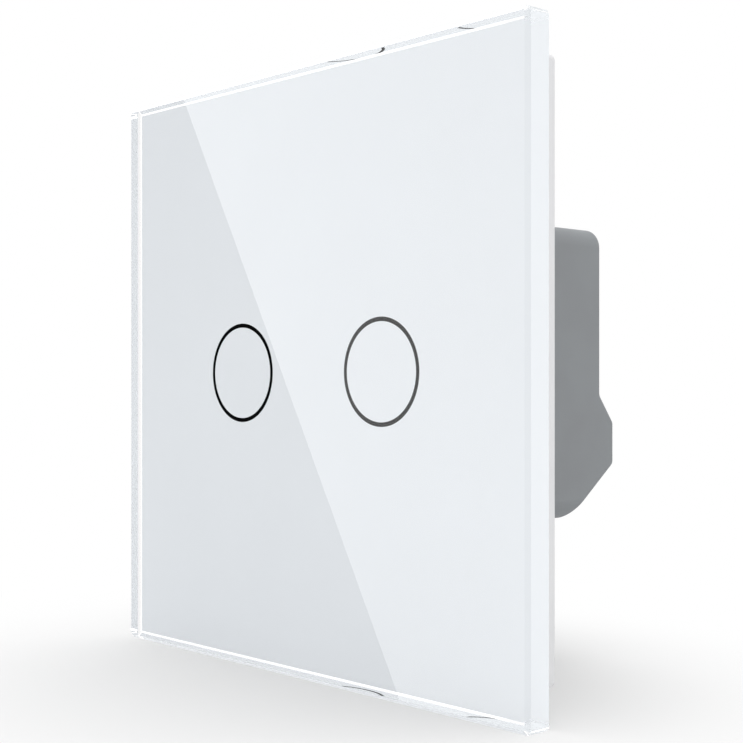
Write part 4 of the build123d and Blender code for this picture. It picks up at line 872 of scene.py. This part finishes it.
def bracketScrews():
    shape, facts = bmesh.new(), bracketScrew
    root, crest, end = min(facts["thread"]), max(facts["thread"]), -facts["length"]
    neck = facts["head"] - crest
    for x, z in facts["places"]:
        where = standing((x, facts["top"], z), axis=(0, -1, 0))
        crossHead(shape, where, -facts["rim"], 0.0, facts["head"], facts["cross"], facts["crossDepth"],
                  [(end, 0.12), (end + 1.2, root), (-neck - 0.9, root), (-neck - facts["rim"], crest)])
        woundSkin(shape, where, end + 0.9, -neck - 0.8, facts["pitch"], facts["thread"])
    makePiece("bracketScrewSet", shape, "bracket_screws", "plated_screw")


def clampScrews():
    facts = clampScrew
    tilt, root = math.radians(facts["tiltDeg"]), min(facts["thread"])
    tip, head, wide = facts["tip"], facts["head"], facts["headRadius"]
    for number, x in enumerate(facts["poles"], start=1):
        shape = bmesh.new()
        where = standing((x, *facts["clamp"]), axis=(0, math.cos(tilt), math.sin(tilt)))
        crossHead(shape, where, head + facts["rim"], facts["top"], wide, facts["cross"], facts["crossDepth"],
                  [(tip, root - 0.25), (tip + 0.25, root), (head, root), (head, wide - facts["rim"])])
        woundSkin(shape, where, tip + 0.15, head - 0.3, facts["pitch"], facts["thread"])
        makePiece(f"clampScrew{number}", shape, f"terminal_screw_{number}", "plated_screw",
                  body=f"clamp_screw_{number}")


bracketScrews()
clampScrews()

# Pieces that keep their node's shape: the node, the piece, how far its edges are broken, and its body
softened = [
    ("mounting_bracket", "pressedBracket", 0.08), ("touch_cover", "touchCover", 0.12),
    ("rear_housing", "wallHousing", 0.15), ("insulation_sheet", "insulatingSheet", 0.03),
    ("terminal_cage_1", "clampCage1", 0.12, "clamp_cage_1"),
    ("terminal_cage_2", "clampCage2", 0.12, "clamp_cage_2"),
    ("terminal_cage_3", "clampCage3", 0.12, "clamp_cage_3"), ("terminal_contacts", "clampStrips", 0.08),
    ("header_block", "headerBlock", 0.12), ("header_socket", "headerSocket", 0.12),
    ("header_pins", "headerPins", 0.08), ("relay_cases", "relayCases", 0.22, "base", 3),
    ("relay_bases", "relayBases", 0.08), ("relay_yokes", "relayYokes", 0.08),
    ("relay_bobbins", "relayBobbins", 0.06), ("relay_pins", "relayPins", 0.1),
    ("relay_contacts", "relayContacts", 0.05), ("relay_armature_left", "armatureLeft", 0.05, "armature_left"),
    ("relay_armature_right", "armatureRight", 0.05, "armature_right"),
]
for softFacts in softened:
    softenedPiece(*softFacts)
print("bracket, cover, housing, screws, cages, connector and relays")

# The winding of a coil is drawn with fewer, thicker turns than the real 0.06 mm wire has
relayCoil = {"centres": [(-5.6, 2.4), (5.6, 2.4)], "low": 8.9, "high": 14.1, "inner": 1.85, "outer": 3.25,
             "wire": 0.2, "pins": (3.0, 8.0)}
chokeCoil = {"centre": (15.0, -9.0), "low": 7.45, "high": 12.35, "inner": 1.65, "outer": 2.9, "wire": 0.35}


def roundTurns(outer, wire, samples=6):
    # Radii across one turn of round wire
    middle = outer - wire / 2
    steps = [(k / samples - 0.5) * wire for k in range(samples)]
    return [middle + math.sqrt(max(wire * wire / 4 - s * s, 0)) for s in steps]


def woundCoil(shape, centre, low, high, inner, outer, wire):
    where = standing((centre[0], 0, centre[1]))
    core = outer - wire / 2 - 0.01
    turned(shape, where, [(low, inner), (low, core), (high, core), (high, inner), (low, inner)],
           closedEnds=False)
    woundSkin(shape, where, low, high, wire, roundTurns(outer, wire))


def windings():
    shape = bmesh.new()
    out, pinZ = relayCoil["pins"]
    for x, z in relayCoil["centres"]:
        woundCoil(shape, (x, z), *[relayCoil[key] for key in ("low", "high", "inner", "outer", "wire")])
        for side in (-1, 1):
            start = Vector((x + side * 2.1, relayCoil["low"] + 0.2, z + 2.4))
            path = [start, (x + side * 2.6, start.y, 6.2), (x + side * out, 8.0, 7.4),
                    (x + side * out, 7.5, pinZ)]
            drawnWire(shape, bentPath(path, 0.4), 0.06, sides=8)
    makePiece("relayCoilTurns", shape, "relay_windings", "copper_wire", flatFaces=False)
    shape = bmesh.new()
    woundCoil(shape, **chokeCoil)
    makePiece("chokeCoilTurns", shape, "choke_winding", "copper_wire", flatFaces=False)


windings()

# Parts on the power board. They stand on its back at y 6.4, and their leads run through it.
board = {"front": 5.0, "back": 6.4, "leadTip": 4.2, "lead": 0.3}
film = {"low": (-10.9, 6.4, -16.33), "high": (2.1, 15.4, -11.33), "leads": [(-9.4, -13.83), (0.6, -13.83)]}
cans = {"centres": [(-15.0, -9.0), (-15.0, 0.6)], "radius": 3.15, "depth": 8.0, "leads": 1.25}
choke = {"centre": (15.0, -9.0), "radius": 3.2, "neck": 1.6, "depth": 7.0, "flange": 1.0, "leads": 2.5}
varistorDisc = {"centre": (15.0, 1.63), "middle": 10.9, "radius": 3.5, "thick": 3.2, "leads": 2.0,
                "dome": (-90, -65, -40, -15, 0, 15, 40, 65, 90)}
fuse = {"centre": (15.0, 8.83), "radius": 2.8, "depth": 6.0, "leads": 1.75}


def leadPlaces(facts):
    return [(x, z + side * facts["leads"]) for x, z in facts.get("centres", [facts.get("centre")])
            for side in (-1, 1)]


def straightLeads(pieceName, nodeName, places, top=board["back"]):
    leads = bmesh.new()
    for x, z in places:
        path = [Vector((x, board["leadTip"], z)), Vector((x, top + 0.2, z))]
        drawnWire(leads, path, board["lead"], sides=16, tipRound=0.08)
    makePiece(pieceName, leads, nodeName, finish=finishes["tinned_brass"], flatFaces=False)


def filmCapacitor():
    case = bmesh.new()
    block(case, film["low"], film["high"], 0.4, steps=4, taper=0.12)
    makePiece("filmCapacitorCase", case, "film_capacitor", "film_case")
    straightLeads("filmCapacitorLeads", "film_capacitor", film["leads"])


def electrolyticCans():
    # The sleeve with its groove and its shrunk rim, and the can's end with the cross-shaped vent
    sleeve, top, r, deep = bmesh.new(), bmesh.new(), cans["radius"], cans["depth"]
    vent = crossRecess(0.16, 3.6)
    for x, z in cans["centres"]:
        where = standing((x, board["back"], z))
        turned(sleeve, where, [(0, r - 0.7), (0, r - 0.3), (0.12, r - 0.08), (0.3, r), (0.95, r),
                               (1.1, r - 0.18), (1.3, r - 0.25), (1.5, r - 0.18), (1.65, r), (deep - 0.5, r),
                               (deep - 0.2, r - 0.1), (deep - 0.04, r - 0.32), (deep, r - 0.6),
                               (deep - 0.03, r - 0.75)], sides=96, closedEnds=False)
        turned(top, where, [(deep - 0.05, r - 0.55), (deep - 0.06, r - 0.9), (deep - 0.1, r - 1.05),
                            (deep - 0.1, narrower(vent, 1.02)), (deep - 0.2, narrower(vent, 0.98))],
               sides=192)
    makePiece("canSleeves", sleeve, "electrolytic_capacitors", "capacitor_sleeve", flatFaces=False)
    makePiece("canTops", top, "electrolytic_capacitors", finish=drawnCan)
    straightLeads("canLeads", "electrolytic_capacitors", leadPlaces(cans))


def drumChoke():
    core, (x, z), r, deep = bmesh.new(), choke["centre"], choke["radius"], choke["depth"]
    flange, neck = choke["flange"], choke["neck"]
    turned(core, standing((x, board["back"], z)),
           [(0, r - 0.15), (0.15, r), (flange - 0.15, r), (flange, r - 0.15), (flange, neck),
            (deep - flange, neck), (deep - flange, r - 0.15), (deep - flange + 0.15, r), (deep - 0.15, r),
            (deep, r - 0.15)])
    makePiece("drumCore", core, "choke_core", "ferrite")
    straightLeads("drumCoreLeads", "choke_core", leadPlaces(choke))


def dippedVaristor():
    # A disc with a domed coat that runs a little way down both leads
    coat, (x, z), r = bmesh.new(), varistorDisc["centre"], varistorDisc["radius"]
    half = varistorDisc["thick"] / 2
    dome = [(half * math.sin(math.radians(a)), r - 1.1 + 1.1 * math.cos(math.radians(a)))
            for a in varistorDisc["dome"]]
    turned(coat, standing((x, varistorDisc["middle"], z), axis=(1, 0, 0), across=(0, 1, 0)),
           [(-half, r - 1.6)] + dome + [(half, r - 1.6)])
    for leadX, leadZ in leadPlaces(varistorDisc):
        turned(coat, standing((leadX, board["back"] + 0.4, leadZ)),
               [(0, 0.32), (0.5, 0.42), (1.2, 0.6), (2.4, 0.75)], sides=24)
    makePiece("varistorCoat", coat, "varistor", "varistor_coat", flatFaces=False)
    straightLeads("varistorLeads", "varistor", leadPlaces(varistorDisc), top=board["back"] + 1.0)


def radialFuse():
    case, (x, z), r, deep = bmesh.new(), fuse["centre"], fuse["radius"], fuse["depth"]
    turned(case, standing((x, board["back"], z)),
           [(0, r - 0.2), (0.15, r - 0.05), (0.6, r - 0.05), (0.7, r), (deep - 0.5, r),
            (deep - 0.35, r - 0.05), (deep - 0.1, r - 0.3), (deep, r - 0.5), (deep, 0.7), (deep - 0.1, 0.6)])
    makePiece("fuseBody", case, "fuse", "fuse_case")
    straightLeads("fuseLeads", "fuse", leadPlaces(fuse))


filmCapacitor()
electrolyticCans()
drumChoke()
dippedVaristor()
radialFuse()

# Power board: wide mains tracks, thin signal tracks, and a solder cone at every lead
powerTracks = {
    "mains": [[(-11, -5.0), (-11, -2.6), (-5.6, -1.2)], [(0, -5.0), (0, -2.6), (5.6, -1.2)],
              [(-5.6, 13.2), (5.6, 13.2)], [(11, -5.0), (11, -2.0), (14, -2.0)], [(15, 3.6), (15, 7.1)],
              [(15, -6.5), (15, -0.4)]],
    "signal": [[(-8.6, 8.0), (-13.4, 3.2), (-13.4, -7.6), (-11.87, -9.13), (-5.08, -9.13)],
               [(-2.6, 8.0), (-2.6, 4.0), (-2.54, -9.13)],
               [(2.6, 8.0), (2.6, 4.0), (-1.7, -0.3), (-1.7, -5.9), (-0.9, -6.7), (1.4, -6.7), (2.54, -7.84),
                (2.54, -9.13)],
               [(8.6, 8.0), (8.6, -6.2), (5.67, -9.13), (5.08, -9.13)],
               [(-15, -7.75), (-15, -0.65)], [(-15, 1.85), (-15, 8.0), (-12.6, 10.4)],
               [(-9.4, -13.83), (-9.4, -10.6), (-15, -10.25)], [(0.6, -13.83), (4.4, -13.83)]],
    "mainsWide": 2.0, "signalWide": 0.5, "proud": 0.05,
    "relayJoints": [(-8.6, 8.0), (-2.6, 8.0), (2.6, 8.0), (8.6, 8.0), (-5.6, -1.2), (5.6, -1.2)],
    "solder": [(0, 0.85), (0.06, 0.8), (0.25, 0.52), (0.5, 0.38), (0.62, 0.3), (0.62, 0.1)],
}


def powerBoardPieces():
    softenedPiece("power_board", "powerBoard", 0.03)
    copper, cones = bmesh.new(), bmesh.new()
    for kind in ("mains", "signal"):
        tracksOn(copper, powerTracks[kind], powerTracks[kind + "Wide"], board["front"],
                 powerTracks["proud"], -1)
    makePiece("powerBoardTracks", copper, "power_board", "circuit_board", finish=maskedCopper,
              flatFaces=False)
    places = film["leads"] + powerTracks["relayJoints"]
    for facts in (cans, choke, fuse, varistorDisc):
        places = places + leadPlaces(facts)
    for x, z in places:
        turned(cones, standing((x, board["front"], z), axis=(0, -1, 0)), powerTracks["solder"], sides=32)
    makePiece("solderCones", cones, "power_board", finish=solder, flatFaces=False)


powerBoardPieces()
print("power side: relays, coils, capacitors, choke, varistor, fuse and board")
